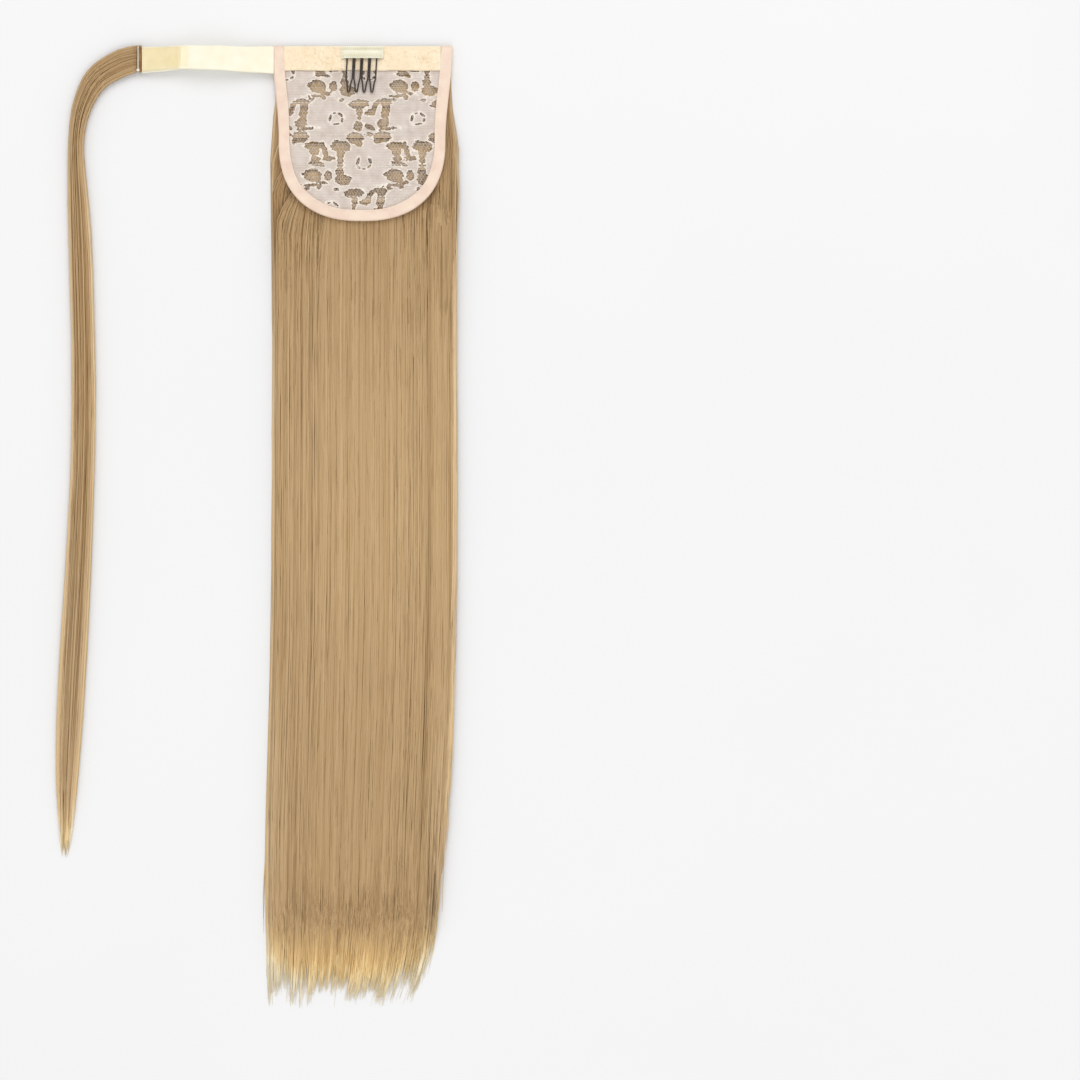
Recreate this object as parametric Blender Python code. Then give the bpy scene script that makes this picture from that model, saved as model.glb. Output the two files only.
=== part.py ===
"""Wrap-around ponytail hairpiece, lying flat with its inner side up.

A U-shaped lace base carries five sewn hair tracks (wefts) on its outer side, which lies
down here. A comb and a soft tape are sewn to its inner side. A strap leaves its left side
and carries a lock of hair that hides the fastening. Metres, +Z up, hair running to -Y.

The base is a plane of its own: x across, y up the product, w out of the inner face. It is
laid on the wedge that the overlapping rows of hair build up under it.
"""

import math

import bmesh
import bpy
from mathutils import Euler, Matrix, Vector

# Clearance between pieces that are sewn together, and above the floor
SEWN_GAP = 0.0003
FLOOR_GAP = 0.0004

# Lace base: sides that draw in a little, then a rounded lower end
BASE_WIDTH = 0.144
BASE_LENGTH = 0.141
BASE_SIDE_LENGTH = 0.076
BASE_TAPER = 0.0055
BASE_END_POWER = 2.4
LACE_THICKNESS = 0.001

# Bias tape folded round the lace's edge
BINDING_WIDTH = 0.009
BINDING_WALL = 0.001

# Soft loop tape along the top edge
BAND_HEIGHT = 0.020
BAND_THICKNESS = 0.0012

# Wire comb under its cover tape
COMB_TEETH = 4
COMB_PITCH = 0.0062
COMB_WIRE = 0.0012
COMB_LEG_GAP = 0.0004
COMB_TOOTH_LENGTH = 0.0325
COMB_TIP_WIDTH = 0.0030
COMB_SPINE = 0.0022
COMB_SPINE_DROP = 0.0055
COMB_BAND_CLEARANCE = 0.002
COMB_LEAN = math.radians(-3.0)
COMB_TIP_STEPS = 6
COVER_MARGIN = 0.0046
COVER_HEIGHT = 0.010
COVER_THICKNESS = 0.001
COVER_END = 0.0035

# Hair rows and the tracks that they hang from
ROWS = 5
TOP_WEFT_DROP = 0.0175
LAST_WEFT_MARGIN = 0.0195
WEFT_HEIGHT = 0.0045
WEFT_THICKNESS = 0.0014
HAIR_REACH = 0.762
HAIR_WIDTH = 0.1475
HAIR_SIDE_SHIFT = 0.0006
HAIR_ROW_THICKNESS = 0.0018
HAIR_EDGE_THICKNESS = 0.0007
HAIR_SPREAD_LENGTH = 0.075
ROW_GAP = 0.0004
ROW_INSET = 0.0012
ROW_STEP_BACK = 0.009

# Strap, hook patch and the wrap strand's sewn end
STRAP_LENGTH = 0.104
STRAP_WIDTH = 0.020
STRAP_THICKNESS = 0.0011
STRAP_TAB = 0.0065
STRAP_ARCH = 0.0085
STRAP_END_HEIGHT = 0.0042
STRAP_LEVEL_SHARE = 0.4
PATCH_LENGTH = 0.031
PATCH_THICKNESS = 0.0012
PATCH_INSET = 0.0005
PATCH_MARGIN = 0.0005
STRAND_WEFT_WIDTH = 0.0036
STRAND_WEFT_LENGTH = 0.0215
STRAND_WEFT_THICKNESS = 0.0030

# Wrap strand: a lock that swings away from the strap and runs down beside the hair
STRAND_SWING = 0.058
STRAND_DROP = 0.640
STRAND_WIDTH = 0.0195
STRAND_THICKNESS = 0.0080
STRAND_ROUNDNESS = 0.7

# Hair outline, each column a share of a named size: reach of HAIR_REACH from the base's
# top edge, left and right of half HAIR_WIDTH, thick of HAIR_ROW_THICKNESS
HAIR_OUTLINE = (
    # reach, left, right, thick
    (0.028, 0.965, 0.960, 0.85),
    (0.075, 0.965, 1.010, 1.00),
    (0.110, 1.000, 1.035, 1.00),
    (0.155, 1.005, 1.030, 1.00),
    (0.210, 0.985, 1.010, 1.00),
    (0.480, 0.985, 1.010, 0.95),
    (0.620, 0.995, 1.000, 0.90),
    (0.770, 1.040, 0.950, 0.80),
    (0.860, 1.060, 0.880, 0.70),
    (0.930, 1.060, 0.785, 0.60),
    (0.966, 1.040, 0.650, 0.50),
    (0.990, 0.890, 0.500, 0.42),
    (1.000, 0.800, 0.380, 0.40),
)

# Wrap strand's route and section: side of STRAND_SWING, drop of STRAND_DROP, wide of
# STRAND_WIDTH, thick of STRAND_THICKNESS, lift of its height at the strap
STRAND_SECTIONS = (
    # side, drop, wide, thick, lift
    (0.000, 0.000, 1.08, 0.40, 1.00),
    (0.230, 0.006, 1.10, 0.55, 0.85),
    (0.560, 0.025, 1.10, 0.80, 0.40),
    (0.760, 0.060, 0.95, 0.95, 0.08),
    (0.830, 0.100, 0.72, 1.00, 0.00),
    (0.820, 0.145, 0.80, 0.95, 0.00),
    (0.785, 0.215, 0.94, 0.90, 0.00),
    (0.750, 0.310, 0.94, 0.90, 0.00),
    (0.725, 0.430, 0.94, 0.90, 0.00),
    (0.765, 0.560, 0.94, 0.88, 0.00),
    (0.835, 0.680, 1.06, 0.82, 0.00),
    (0.920, 0.810, 1.16, 0.72, 0.00),
    (0.955, 0.895, 1.02, 0.60, 0.00),
    (0.965, 0.940, 0.68, 0.45, 0.00),
    (0.980, 0.975, 0.42, 0.30, 0.00),
    (1.000, 1.000, 0.14, 0.14, 0.00),
)

# Strap in side view, up to the flat stretch under its patch: along of that stretch's
# distance from the base, rise of STRAP_ARCH above the line between the strap's ends
STRAP_ARCH_SECTIONS = (
    # along, rise
    (0.00, 0.00),
    (0.14, 0.16),
    (0.31, 0.52),
    (0.51, 0.90),
    (0.71, 1.00),
    (0.88, 0.86),
    (1.00, 0.62),
)

# Comb tooth in plan and side view: side of half the leg spacing, along of
# COMB_TOOTH_LENGTH; the wire sinks from the spine to the lace
TOOTH_LEG = (
    # side, along
    (1.00, 0.00),
    (1.00, 0.30),
    (1.00, 0.62),
    (0.86, 0.78),
)

WEFT_PITCH = (BASE_LENGTH - LAST_WEFT_MARGIN - TOP_WEFT_DROP) / (ROWS - 1)
COMB_WIDTH = COMB_TEETH * COMB_PITCH
COVER_WIDTH = COMB_WIDTH + 2 * COVER_MARGIN
STRAP_ARCH_LENGTH = STRAP_LENGTH - PATCH_LENGTH - PATCH_MARGIN

# The base lies on the wedge of hair: one row thicker at each weft
ROW_RISE = HAIR_ROW_THICKNESS + ROW_GAP
BASE_SLOPE = ROW_RISE / WEFT_PITCH
UNDER_BINDING = BINDING_WALL + SEWN_GAP
TOP_WEFT_RISE = FLOOR_GAP + WEFT_THICKNESS + SEWN_GAP + UNDER_BINDING
BASE_RISE = max(
    TOP_WEFT_RISE - TOP_WEFT_DROP * BASE_SLOPE, FLOOR_GAP + UNDER_BINDING
)
BASE_TILT = math.atan(BASE_SLOPE)


def material(name, colour, roughness, metallic=0.0):
    """A Principled material of one linear RGB colour."""
    made = bpy.data.materials.new(name)
    made.use_nodes = True
    shader = made.node_tree.nodes["Principled BSDF"]
    shader.inputs["Base Color"].default_value = (*colour, 1.0)
    shader.inputs["Roughness"].default_value = roughness
    shader.inputs["Metallic"].default_value = metallic
    made.diffuse_color = (*colour, 1.0)
    return made


def smoothstep(share):
    share = min(max(share, 0.0), 1.0)
    return share * share * (3.0 - 2.0 * share)


def along_table(rows, steps):
    """Rows of a table with smooth rows between them, steps to each pair (Catmull-Rom)."""
    made = []
    for index in range(len(rows) - 1):
        before = rows[max(index - 1, 0)]
        start = rows[index]
        end = rows[index + 1]
        after = rows[min(index + 2, len(rows) - 1)]
        for step in range(steps):
            t = step / steps
            made.append(
                tuple(
                    0.5
                    * (
                        2 * b
                        + (c - a) * t
                        + (2 * a - 5 * b + 4 * c - d) * t * t
                        + (3 * b - a - 3 * c + d) * t**3
                    )
                    for a, b, c, d in zip(before, start, end, after)
                )
            )
    made.append(tuple(rows[-1]))
    return made


def at_first_column(rows, value):
    """The other columns of a table, read in a straight line at a value of its first."""
    if value <= rows[0][0]:
        return rows[0][1:]
    for low, high in zip(rows, rows[1:]):
        if value <= high[0]:
            share = (value - low[0]) / (high[0] - low[0])
            return tuple(a + (b - a) * share for a, b in zip(low[1:], high[1:]))
    return rows[-1][1:]


def mesh_object(name, mesh_data, finish, parent):
    """Turns a bmesh into a named object with outward faces."""
    bmesh.ops.recalc_face_normals(mesh_data, faces=mesh_data.faces)
    mesh = bpy.data.meshes.new(name)
    mesh_data.to_mesh(mesh)
    mesh_data.free()
    mesh.materials.append(finish)
    piece = bpy.data.objects.new(name, mesh)
    bpy.context.scene.collection.objects.link(piece)
    piece.parent = parent
    return piece


def shade_round(piece, sharp_degrees=40):
    piece.data.shade_smooth()
    piece.data.set_sharp_from_angle(angle=math.radians(sharp_degrees))
    return piece


def loft(name, rings, finish, parent):
    """A closed solid through rings of as many points each, with flat ends."""
    mesh_data = bmesh.new()
    loops = [[mesh_data.verts.new(point) for point in ring] for ring in rings]
    for ring, following in zip(loops, loops[1:]):
        for index in range(len(ring)):
            after = (index + 1) % len(ring)
            mesh_data.faces.new(
                (ring[index], ring[after], following[after], following[index])
            )
    mesh_data.faces.new(loops[0])
    mesh_data.faces.new(reversed(loops[-1]))
    return mesh_object(name, mesh_data, finish, parent)


def prism(name, outline, low, high, finish, parent):
    """A flat sheet with this outline in x and y, from low to high."""
    mesh_data = bmesh.new()
    face = mesh_data.faces.new([mesh_data.verts.new((x, y, low)) for x, y in outline])
    raised = bmesh.ops.extrude_face_region(mesh_data, geom=[face])
    bmesh.ops.translate(
        mesh_data,
        vec=(0, 0, high - low),
        verts=[item for item in raised["geom"] if isinstance(item, bmesh.types.BMVert)],
    )
    return mesh_object(name, mesh_data, finish, parent)


def base_half_width(drop):
    """Half the base's width at a distance below its top edge."""
    waist = BASE_WIDTH / 2 - BASE_TAPER
    if drop <= BASE_SIDE_LENGTH:
        return BASE_WIDTH / 2 - BASE_TAPER * smoothstep(drop / BASE_SIDE_LENGTH)
    depth = (drop - BASE_SIDE_LENGTH) / (BASE_LENGTH - BASE_SIDE_LENGTH)
    return waist * max(1.0 - depth**BASE_END_POWER, 0.0) ** (1.0 / BASE_END_POWER)


def base_edge(side_steps=5, end_steps=26):
    """The base's outer edge from its top left corner round to its top right one."""
    side = []
    for step in range(side_steps):
        drop = BASE_SIDE_LENGTH * step / side_steps
        side.append((base_half_width(drop), drop))
    end = []
    waist = BASE_WIDTH / 2 - BASE_TAPER
    depth = BASE_LENGTH - BASE_SIDE_LENGTH
    for step in range(end_steps + 1):
        turn = math.pi * step / end_steps
        across = math.copysign(abs(math.cos(turn)) ** (2 / BASE_END_POWER), math.cos(turn))
        down = max(math.sin(turn), 0.0) ** (2 / BASE_END_POWER)
        end.append((-waist * across, -BASE_SIDE_LENGTH - depth * down))
    left = [(-x, -drop) for x, drop in side]
    right = [(x, -drop) for x, drop in reversed(side)]
    return left + end + right


def inward(edge):
    """The unit normal into the base at each point of its edge."""
    normals = []
    for index, _ in enumerate(edge):
        before = Vector(edge[max(index - 1, 0)])
        after = Vector(edge[min(index + 1, len(edge) - 1)])
        along = (after - before).normalized()
        normals.append(Vector((-along.y, along.x)))
    normals[0] = Vector((1, 0))
    normals[-1] = Vector((-1, 0))
    return normals


def half_width_inside_binding(drop):
    """Half the width between the binding's legs at a distance below the top edge."""
    edge = base_edge()
    inner = [Vector(p) + n * BINDING_WIDTH for p, n in zip(edge, inward(edge))]
    right = sorted((-place.y, place.x) for place in inner if place.x > 0)
    return at_first_column(right, drop)[0]


def strap_cutter(base, reach_in):
    """Where the strap goes through the binding's fold, as a hidden cutter."""
    drop = STRAP_WIDTH + 2 * SEWN_GAP
    outline = (
        (-BASE_WIDTH, 0.001),
        (-BASE_WIDTH / 2 + reach_in, 0.001),
        (-BASE_WIDTH / 2 + reach_in, -drop),
        (-BASE_WIDTH, -drop),
    )
    cutter = prism(
        "strap_cutter",
        outline,
        -SEWN_GAP * 0.9,
        LACE_THICKNESS + SEWN_GAP * 0.9,
        FINISHES["tape"],
        base,
    )
    cutter.hide_render = True
    cutter.display_type = "WIRE"
    return cutter


def cut(piece, cutter):
    modifier = piece.modifiers.new("cut", "BOOLEAN")
    modifier.operation = "DIFFERENCE"
    modifier.object = cutter
    return piece


def make_binding(base, cutter):
    """Tape folded over the edge: two legs and a fold, open towards the lace."""
    edge = base_edge()
    low = -SEWN_GAP - BINDING_WALL
    high = LACE_THICKNESS + SEWN_GAP + BINDING_WALL
    fold = BINDING_WALL
    section = (
        (BINDING_WIDTH, low),
        (fold * 0.6, low),
        (0.0, low + fold * 0.9),
        (0.0, high - fold * 0.9),
        (fold * 0.6, high),
        (BINDING_WIDTH, high),
        (BINDING_WIDTH, high - BINDING_WALL),
        (fold, high - BINDING_WALL),
        (fold, low + BINDING_WALL),
        (BINDING_WIDTH, low + BINDING_WALL),
    )
    rings = []
    for point, normal in zip(edge, inward(edge)):
        place = Vector(point)
        rings.append(
            [(*(place + normal * depth), height) for depth, height in section]
        )
    return cut(loft("edge_binding", rings, FINISHES["binding"], base), cutter)


def make_lace(base, cutter):
    """The lace sheet, its edge held in the binding's fold."""
    edge = base_edge()
    inset = BINDING_WALL + SEWN_GAP
    outline = [
        tuple(Vector(point) + normal * inset)
        for point, normal in zip(edge, inward(edge))
    ]
    outline[0] = (outline[0][0], -SEWN_GAP)
    outline[-1] = (outline[-1][0], -SEWN_GAP)
    lace = prism("lace_base", outline, 0.0, LACE_THICKNESS, FINISHES["lace"], base)
    return cut(lace, cutter)


def band_top():
    return LACE_THICKNESS + SEWN_GAP + BAND_THICKNESS


def make_top_band(base):
    half = half_width_inside_binding(0.0) - SEWN_GAP
    low_half = half_width_inside_binding(BAND_HEIGHT) - SEWN_GAP
    outline = (
        (-half, 0.0),
        (half, 0.0),
        (low_half, -BAND_HEIGHT),
        (-low_half, -BAND_HEIGHT),
    )
    low = LACE_THICKNESS + SEWN_GAP
    return prism("top_band", outline, low, band_top(), FINISHES["band"], base)


def spine_height():
    return band_top() + SEWN_GAP + COMB_SPINE / 2


def tooth_route(centre):
    """One wire of the comb: down a leg, round the narrow tip and up the other leg."""
    spacing = (COMB_PITCH - COMB_WIRE - COMB_LEG_GAP) / 2
    low = LACE_THICKNESS + 2 * SEWN_GAP + COMB_WIRE / 2
    over_band = band_top() + SEWN_GAP + COMB_WIRE / 2
    band_edge = (BAND_HEIGHT - COMB_SPINE_DROP + COMB_BAND_CLEARANCE) / COMB_TOOTH_LENGTH

    def height(share):
        if share < band_edge:
            mix = share / band_edge
            return spine_height() + (over_band - spine_height()) * mix
        mix = smoothstep((share - band_edge) / (1.0 - band_edge))
        return over_band + (low - over_band) * mix

    def place(side, share):
        across = centre + side * spacing + COMB_TOOTH_LENGTH * share * math.tan(COMB_LEAN)
        down = -COMB_SPINE_DROP - COMB_TOOTH_LENGTH * share
        return (across, down, height(share))

    legs = along_table(TOOTH_LEG, 2)
    tip_half = COMB_TIP_WIDTH / 2 - COMB_WIRE / 2
    tip_share = 1.0 - (tip_half + COMB_WIRE / 2) / COMB_TOOTH_LENGTH
    tip = []
    for step in range(COMB_TIP_STEPS + 1):
        turn = math.pi * step / COMB_TIP_STEPS
        side = tip_half * math.cos(turn) / spacing
        tip.append((side, tip_share + tip_half * math.sin(turn) / COMB_TOOTH_LENGTH))
    down_leg = [place(side, share) for side, share in legs]
    up_leg = [place(-side, share) for side, share in reversed(legs)]
    return down_leg + [place(side, share) for side, share in tip] + up_leg


def tube_mesh(name, route, radius):
    """A round wire along a route, as a mesh that a Boolean can join."""
    curve = bpy.data.curves.new(name, "CURVE")
    curve.dimensions = "3D"
    curve.bevel_depth = radius
    curve.bevel_resolution = 2
    curve.use_fill_caps = True
    spline = curve.splines.new("POLY")
    spline.points.add(len(route) - 1)
    for point, place in zip(spline.points, route):
        point.co = (*place, 1.0)
    guide = bpy.data.objects.new(name, curve)
    bpy.context.scene.collection.objects.link(guide)
    bpy.context.view_layer.update()
    graph = bpy.context.evaluated_depsgraph_get()
    mesh = bpy.data.meshes.new_from_object(guide.evaluated_get(graph))
    bpy.data.objects.remove(guide)
    return mesh


def make_comb(base):
    """A wire spine with four narrow U teeth soldered to it."""
    half = COMB_WIDTH / 2
    spine = [
        (x, -COMB_SPINE_DROP, spine_height())
        for x in (-half - COMB_WIRE / 4, 0.0, half + COMB_WIRE / 4)
    ]
    comb = bpy.data.objects.new("comb", tube_mesh("comb", spine, COMB_SPINE / 2))
    bpy.context.scene.collection.objects.link(comb)
    comb.data.materials.clear()
    comb.data.materials.append(FINISHES["comb"])
    comb.parent = base
    for index in range(COMB_TEETH):
        centre = (index - (COMB_TEETH - 1) / 2) * COMB_PITCH
        name = f"tooth_{index + 1}"
        tooth = bpy.data.objects.new(
            name, tube_mesh(name, tooth_route(centre), COMB_WIRE / 2)
        )
        bpy.context.scene.collection.objects.link(tooth)
        tooth.hide_render = True
        tooth.display_type = "WIRE"
        tooth.parent = base
        modifier = comb.modifiers.new(name, "BOOLEAN")
        modifier.operation = "UNION"
        modifier.object = tooth
    return comb


def make_comb_cover(base):
    """Knit tape over the spine: flat on the band at its ends, humped between them."""
    flat = band_top() + SEWN_GAP
    over_spine = spine_height() + COMB_SPINE / 2 + SEWN_GAP
    over_wire = spine_height() + COMB_WIRE / 2 + SEWN_GAP
    top_edge = COMB_SPINE_DROP - COVER_HEIGHT / 2
    spine_side = COMB_SPINE_DROP - COMB_SPINE / 2 - SEWN_GAP
    profile = (
        # drop below the base's top edge, height over the spine
        (top_edge, flat),
        (spine_side - 1.2 * SEWN_GAP, flat),
        (spine_side, over_wire),
        (COMB_SPINE_DROP - COMB_SPINE / 4, over_spine),
        (COMB_SPINE_DROP + COMB_SPINE / 4, over_spine),
        (COMB_SPINE_DROP + COMB_SPINE, over_wire),
        (COMB_SPINE_DROP + COVER_HEIGHT / 2, over_wire),
    )
    half = COVER_WIDTH / 2
    rings = []
    for x, hump in (
        (-half, 0.0),
        (-half + COVER_END / 3, 0.0),
        (-half + COVER_END, 1.0),
        (half - COVER_END, 1.0),
        (half - COVER_END / 3, 0.0),
        (half, 0.0),
    ):
        under = [(x, -drop, flat + (height - flat) * hump) for drop, height in profile]
        over = [(px, py, height + COVER_THICKNESS) for px, py, height in reversed(under)]
        rings.append(under + over)
    return loft("comb_cover", rings, FINISHES["cover"], base)


def weft_drop(row):
    return TOP_WEFT_DROP + row * WEFT_PITCH


def weft_half_width(row):
    """The top weft spans the base; the lower ones lie between the binding's legs."""
    if row == 0:
        return base_half_width(weft_drop(0)) - SEWN_GAP
    return half_width_inside_binding(weft_drop(row) + WEFT_HEIGHT) - 2 * SEWN_GAP


def make_weft(row, base):
    """A folded track, thicker at its upper edge where the hair is turned over."""
    high = weft_top(row)
    low = high - WEFT_THICKNESS
    drop = weft_drop(row)
    half = weft_half_width(row)
    section = (
        (-drop, high),
        (-drop, low + WEFT_THICKNESS * 0.3),
        (-drop - WEFT_HEIGHT * 0.2, low),
        (-drop - WEFT_HEIGHT, low + WEFT_THICKNESS * 0.2),
        (-drop - WEFT_HEIGHT, high),
    )
    rings = [[(x, y, w) for y, w in section] for x in (-half, half)]
    return loft(f"weft_{row + 1}", rings, FINISHES["weft"], base)


def weft_top(row):
    """The weft's upper face, out from the lace: the top one passes under the binding."""
    return -SEWN_GAP if row else -SEWN_GAP - UNDER_BINDING


def weft_middle_height(row):
    """Height in the world of the middle of a weft's lower edge."""
    edge = Vector((0, -weft_drop(row) - WEFT_HEIGHT, weft_top(row) - WEFT_THICKNESS / 2))
    return (BASE_FRAME @ edge).z


def hair_start(row):
    """Where a row's hair begins, just clear of its weft's lower edge."""
    edge = Vector((0, -weft_drop(row) - WEFT_HEIGHT, weft_top(row) - WEFT_THICKNESS))
    return SEWN_GAP - (BASE_FRAME @ edge).y


def hair_end(row):
    return HAIR_REACH - ROW_STEP_BACK * row


def hair_stations():
    """Distances below the top edge where every row of hair has a section."""
    fixed = [hair_start(row) for row in range(ROWS)] + [hair_end(row) for row in range(ROWS)]
    closest = ROW_STEP_BACK / 2
    stations = list(fixed)
    free = [reach * HAIR_REACH for reach, *_ in along_table(HAIR_OUTLINE, 2)]
    last_root = hair_start(ROWS - 1)
    free += [last_root + HAIR_SPREAD_LENGTH * step / 4 for step in range(1, 5)]
    for reach in sorted(free):
        if all(abs(reach - other) > closest for other in stations):
            stations.append(reach)
    return sorted(stations)


def hair_sides(reach):
    """Where the whole hair's outline lies at a distance below the top edge."""
    left, right, thick = at_first_column(along_table(HAIR_OUTLINE, 3), reach / HAIR_REACH)
    half = HAIR_WIDTH / 2
    return HAIR_SIDE_SHIFT - half * left, HAIR_SIDE_SHIFT + half * right, thick


def hair_section(row, reach):
    """One cross-section of a row: it lies on the rows below, crowned, with thin edges."""
    columns = 9
    left, right, thick = hair_sides(reach)
    middle = (left + right) / 2
    half = (right - left) / 2
    spread = smoothstep((reach - hair_start(row)) / HAIR_SPREAD_LENGTH)
    root = weft_half_width(row)
    near = -root + (left + ROW_INSET * row + root) * spread
    far = root + (right - ROW_INSET * row - root) * spread
    below = []
    above = []
    for column in range(columns):
        x = near + (far - near) * column / (columns - 1)
        crown = 1.0 - min(abs(x - middle) / half, 1.0) ** 2
        full = HAIR_ROW_THICKNESS * thick - HAIR_EDGE_THICKNESS
        layer = HAIR_EDGE_THICKNESS + full * crown
        floor = row * (layer + ROW_GAP)
        top = floor + layer
        if reach == hair_start(row) and 0 < column < columns - 1:
            top = max(top, weft_middle_height(row))
        below.append((x, -reach, floor))
        above.append((x, -reach, top))
    return below + above[::-1]


def make_hair_row(row):
    """The hair of one weft, from its root to its tips."""
    start = hair_start(row)
    end = hair_end(row)
    rings = [hair_section(row, reach) for reach in hair_stations() if start <= reach <= end]
    name = f"hair_row_{row + 1}"
    return shade_round(loft(name, rings, FINISHES["hair"], None))


def strap_root():
    """Where the strap leaves the binding, its middle in the world."""
    middle = Vector((-BASE_WIDTH / 2, -SEWN_GAP - STRAP_WIDTH / 2, 0))
    return BASE_FRAME @ middle


def strap_ring(place, across, up, width, thickness):
    half = across * (width / 2)
    lift = up * thickness
    return [place - half, place + half, place + half + lift, place - half + lift]


def strap_point(root, along, rise):
    """A point of the strap's arch, under its middle."""
    reach = STRAP_ARCH_LENGTH * along
    place = root + Vector((-reach, 0, 0))
    place.z += (STRAP_END_HEIGHT - root.z) * reach / STRAP_LENGTH + STRAP_ARCH * rise
    return place


def make_strap():
    """Tape held in the binding, arched, then flat under its hook patch."""
    root = strap_root()
    across_base = (BASE_FRAME.to_3x3() @ Vector((0, 1, 0))).normalized()
    up_base = (BASE_FRAME.to_3x3() @ Vector((0, 0, 1))).normalized()
    width = STRAP_WIDTH
    held = STRAP_THICKNESS - SEWN_GAP
    inside = root + Vector((STRAP_TAB, 0, 0))
    rings = [strap_ring(place, across_base, up_base, width, held) for place in (inside, root)]
    for along, rise in along_table(STRAP_ARCH_SECTIONS, 2)[1:]:
        level = smoothstep(along / STRAP_LEVEL_SHARE)
        across = across_base.lerp(Vector((0, 1, 0)), level).normalized()
        up = up_base.lerp(Vector((0, 0, 1)), level).normalized()
        place = strap_point(root, along, rise)
        rings.append(strap_ring(place, across, up, width, STRAP_THICKNESS))
    place = root + Vector((-STRAP_LENGTH, 0, 0))
    place.z = STRAP_END_HEIGHT
    rings.append(strap_ring(place, Vector((0, 1, 0)), Vector((0, 0, 1)), width, STRAP_THICKNESS))
    return shade_round(loft("wrap_strap", rings, FINISHES["strap"], None), 60)


def strap_end_frame():
    """The flat stretch at the strap's far end: its last point and its direction."""
    root = strap_root()
    flat_start = strap_point(root, *STRAP_ARCH_SECTIONS[-1])
    end = root + Vector((-STRAP_LENGTH, 0, 0))
    end.z = STRAP_END_HEIGHT
    return end, (flat_start - end).normalized()


def make_hook_patch():
    """Hook tape on the strap's flat end."""
    end, back = strap_end_frame()
    up = back.cross(Vector((0, -1, 0)))
    if up.z < 0:
        up.negate()
    lift = up * (STRAP_THICKNESS + SEWN_GAP)
    near = end + back * PATCH_INSET + lift
    far = near + back * (PATCH_LENGTH - PATCH_INSET)
    width = STRAP_WIDTH - 2 * PATCH_INSET
    rings = [
        strap_ring(place, Vector((0, 1, 0)), up, width, PATCH_THICKNESS)
        for place in (near, far)
    ]
    return loft("hook_patch", rings, FINISHES["hook"], None)


def strand_root():
    """The middle of the wrap strand's first section."""
    end, _ = strap_end_frame()
    return end + Vector((-SEWN_GAP - STRAND_WEFT_WIDTH - SEWN_GAP, 0, 0))


def make_strand_weft():
    """The strand's sewn end, butted to the strap's end."""
    end, _ = strap_end_frame()
    middle = end.z + STRAP_THICKNESS / 2
    half_length = STRAND_WEFT_LENGTH / 2
    half_thick = STRAND_WEFT_THICKNESS / 2
    bevel = STRAND_WEFT_THICKNESS / 4
    section = (
        (-half_length, -half_thick + bevel),
        (-half_length + bevel, -half_thick),
        (half_length - bevel, -half_thick),
        (half_length, -half_thick + bevel),
        (half_length, half_thick - bevel),
        (half_length - bevel, half_thick),
        (-half_length + bevel, half_thick),
        (-half_length, half_thick - bevel),
    )
    rings = []
    for x in (end.x - SEWN_GAP - STRAND_WEFT_WIDTH, end.x - SEWN_GAP):
        rings.append([(x, end.y + y, middle + z) for y, z in section])
    return loft("strand_weft", rings, FINISHES["weft"], None)


def make_wrap_strand():
    """The lock from the strap's end: it swings out, comes down and narrows to a tip."""
    root = strand_root()
    root_height = root.z + STRAP_THICKNESS / 2
    rows = along_table(STRAND_SECTIONS, 3)
    places = []
    for side, drop, _, thick, lift in rows:
        lying = STRAND_THICKNESS * thick / 2
        place = Vector((root.x - STRAND_SWING * side, root.y - STRAND_DROP * drop, 0))
        place.z = lying + (root_height - lying) * lift
        places.append(place)
    points = 12
    rings = []
    for index, (_, _, wide, thick, _) in enumerate(rows):
        along = places[min(index + 1, len(places) - 1)] - places[max(index - 1, 0)]
        if index == 0:
            along = Vector((-1, 0, 0))
        along.z = 0
        across = along.normalized().cross(Vector((0, 0, 1)))
        ring = []
        for point in range(points):
            turn = 2 * math.pi * point / points
            sideways = across * (math.cos(turn) * STRAND_WIDTH * wide / 2)
            raise_by = math.copysign(abs(math.sin(turn)) ** STRAND_ROUNDNESS, math.sin(turn))
            lifted = Vector((0, 0, raise_by * STRAND_THICKNESS * thick / 2))
            ring.append(places[index] + sideways + lifted)
        rings.append(ring)
    return shade_round(loft("wrap_strand", rings, FINISHES["hair"], None))


def centre_on_origin():
    """Moves everything so that the middle of the box's underside is the origin."""
    bpy.context.view_layer.update()
    graph = bpy.context.evaluated_depsgraph_get()
    low = Vector((math.inf,) * 3)
    high = Vector((-math.inf,) * 3)
    for piece in bpy.context.scene.objects:
        if piece.type != "MESH" or piece.hide_render:
            continue
        evaluated = piece.evaluated_get(graph)
        for corner in evaluated.bound_box:
            place = evaluated.matrix_world @ Vector(corner)
            low = Vector(map(min, low, place))
            high = Vector(map(max, high, place))
    middle = (low + high) / 2
    whole = bpy.data.objects.new("hairpiece", None)
    bpy.context.scene.collection.objects.link(whole)
    for piece in bpy.context.scene.objects:
        if piece.parent is None and piece is not whole:
            piece.parent = whole
    whole.location = (-middle.x, -middle.y, -low.z)


def clear_scene():
    for item in list(bpy.data.objects):
        bpy.data.objects.remove(item)


clear_scene()

# The base's plane in the world
BASE_FRAME = Matrix.Translation((0, 0, BASE_RISE)) @ Euler((-BASE_TILT, 0, 0)).to_matrix().to_4x4()

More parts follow.
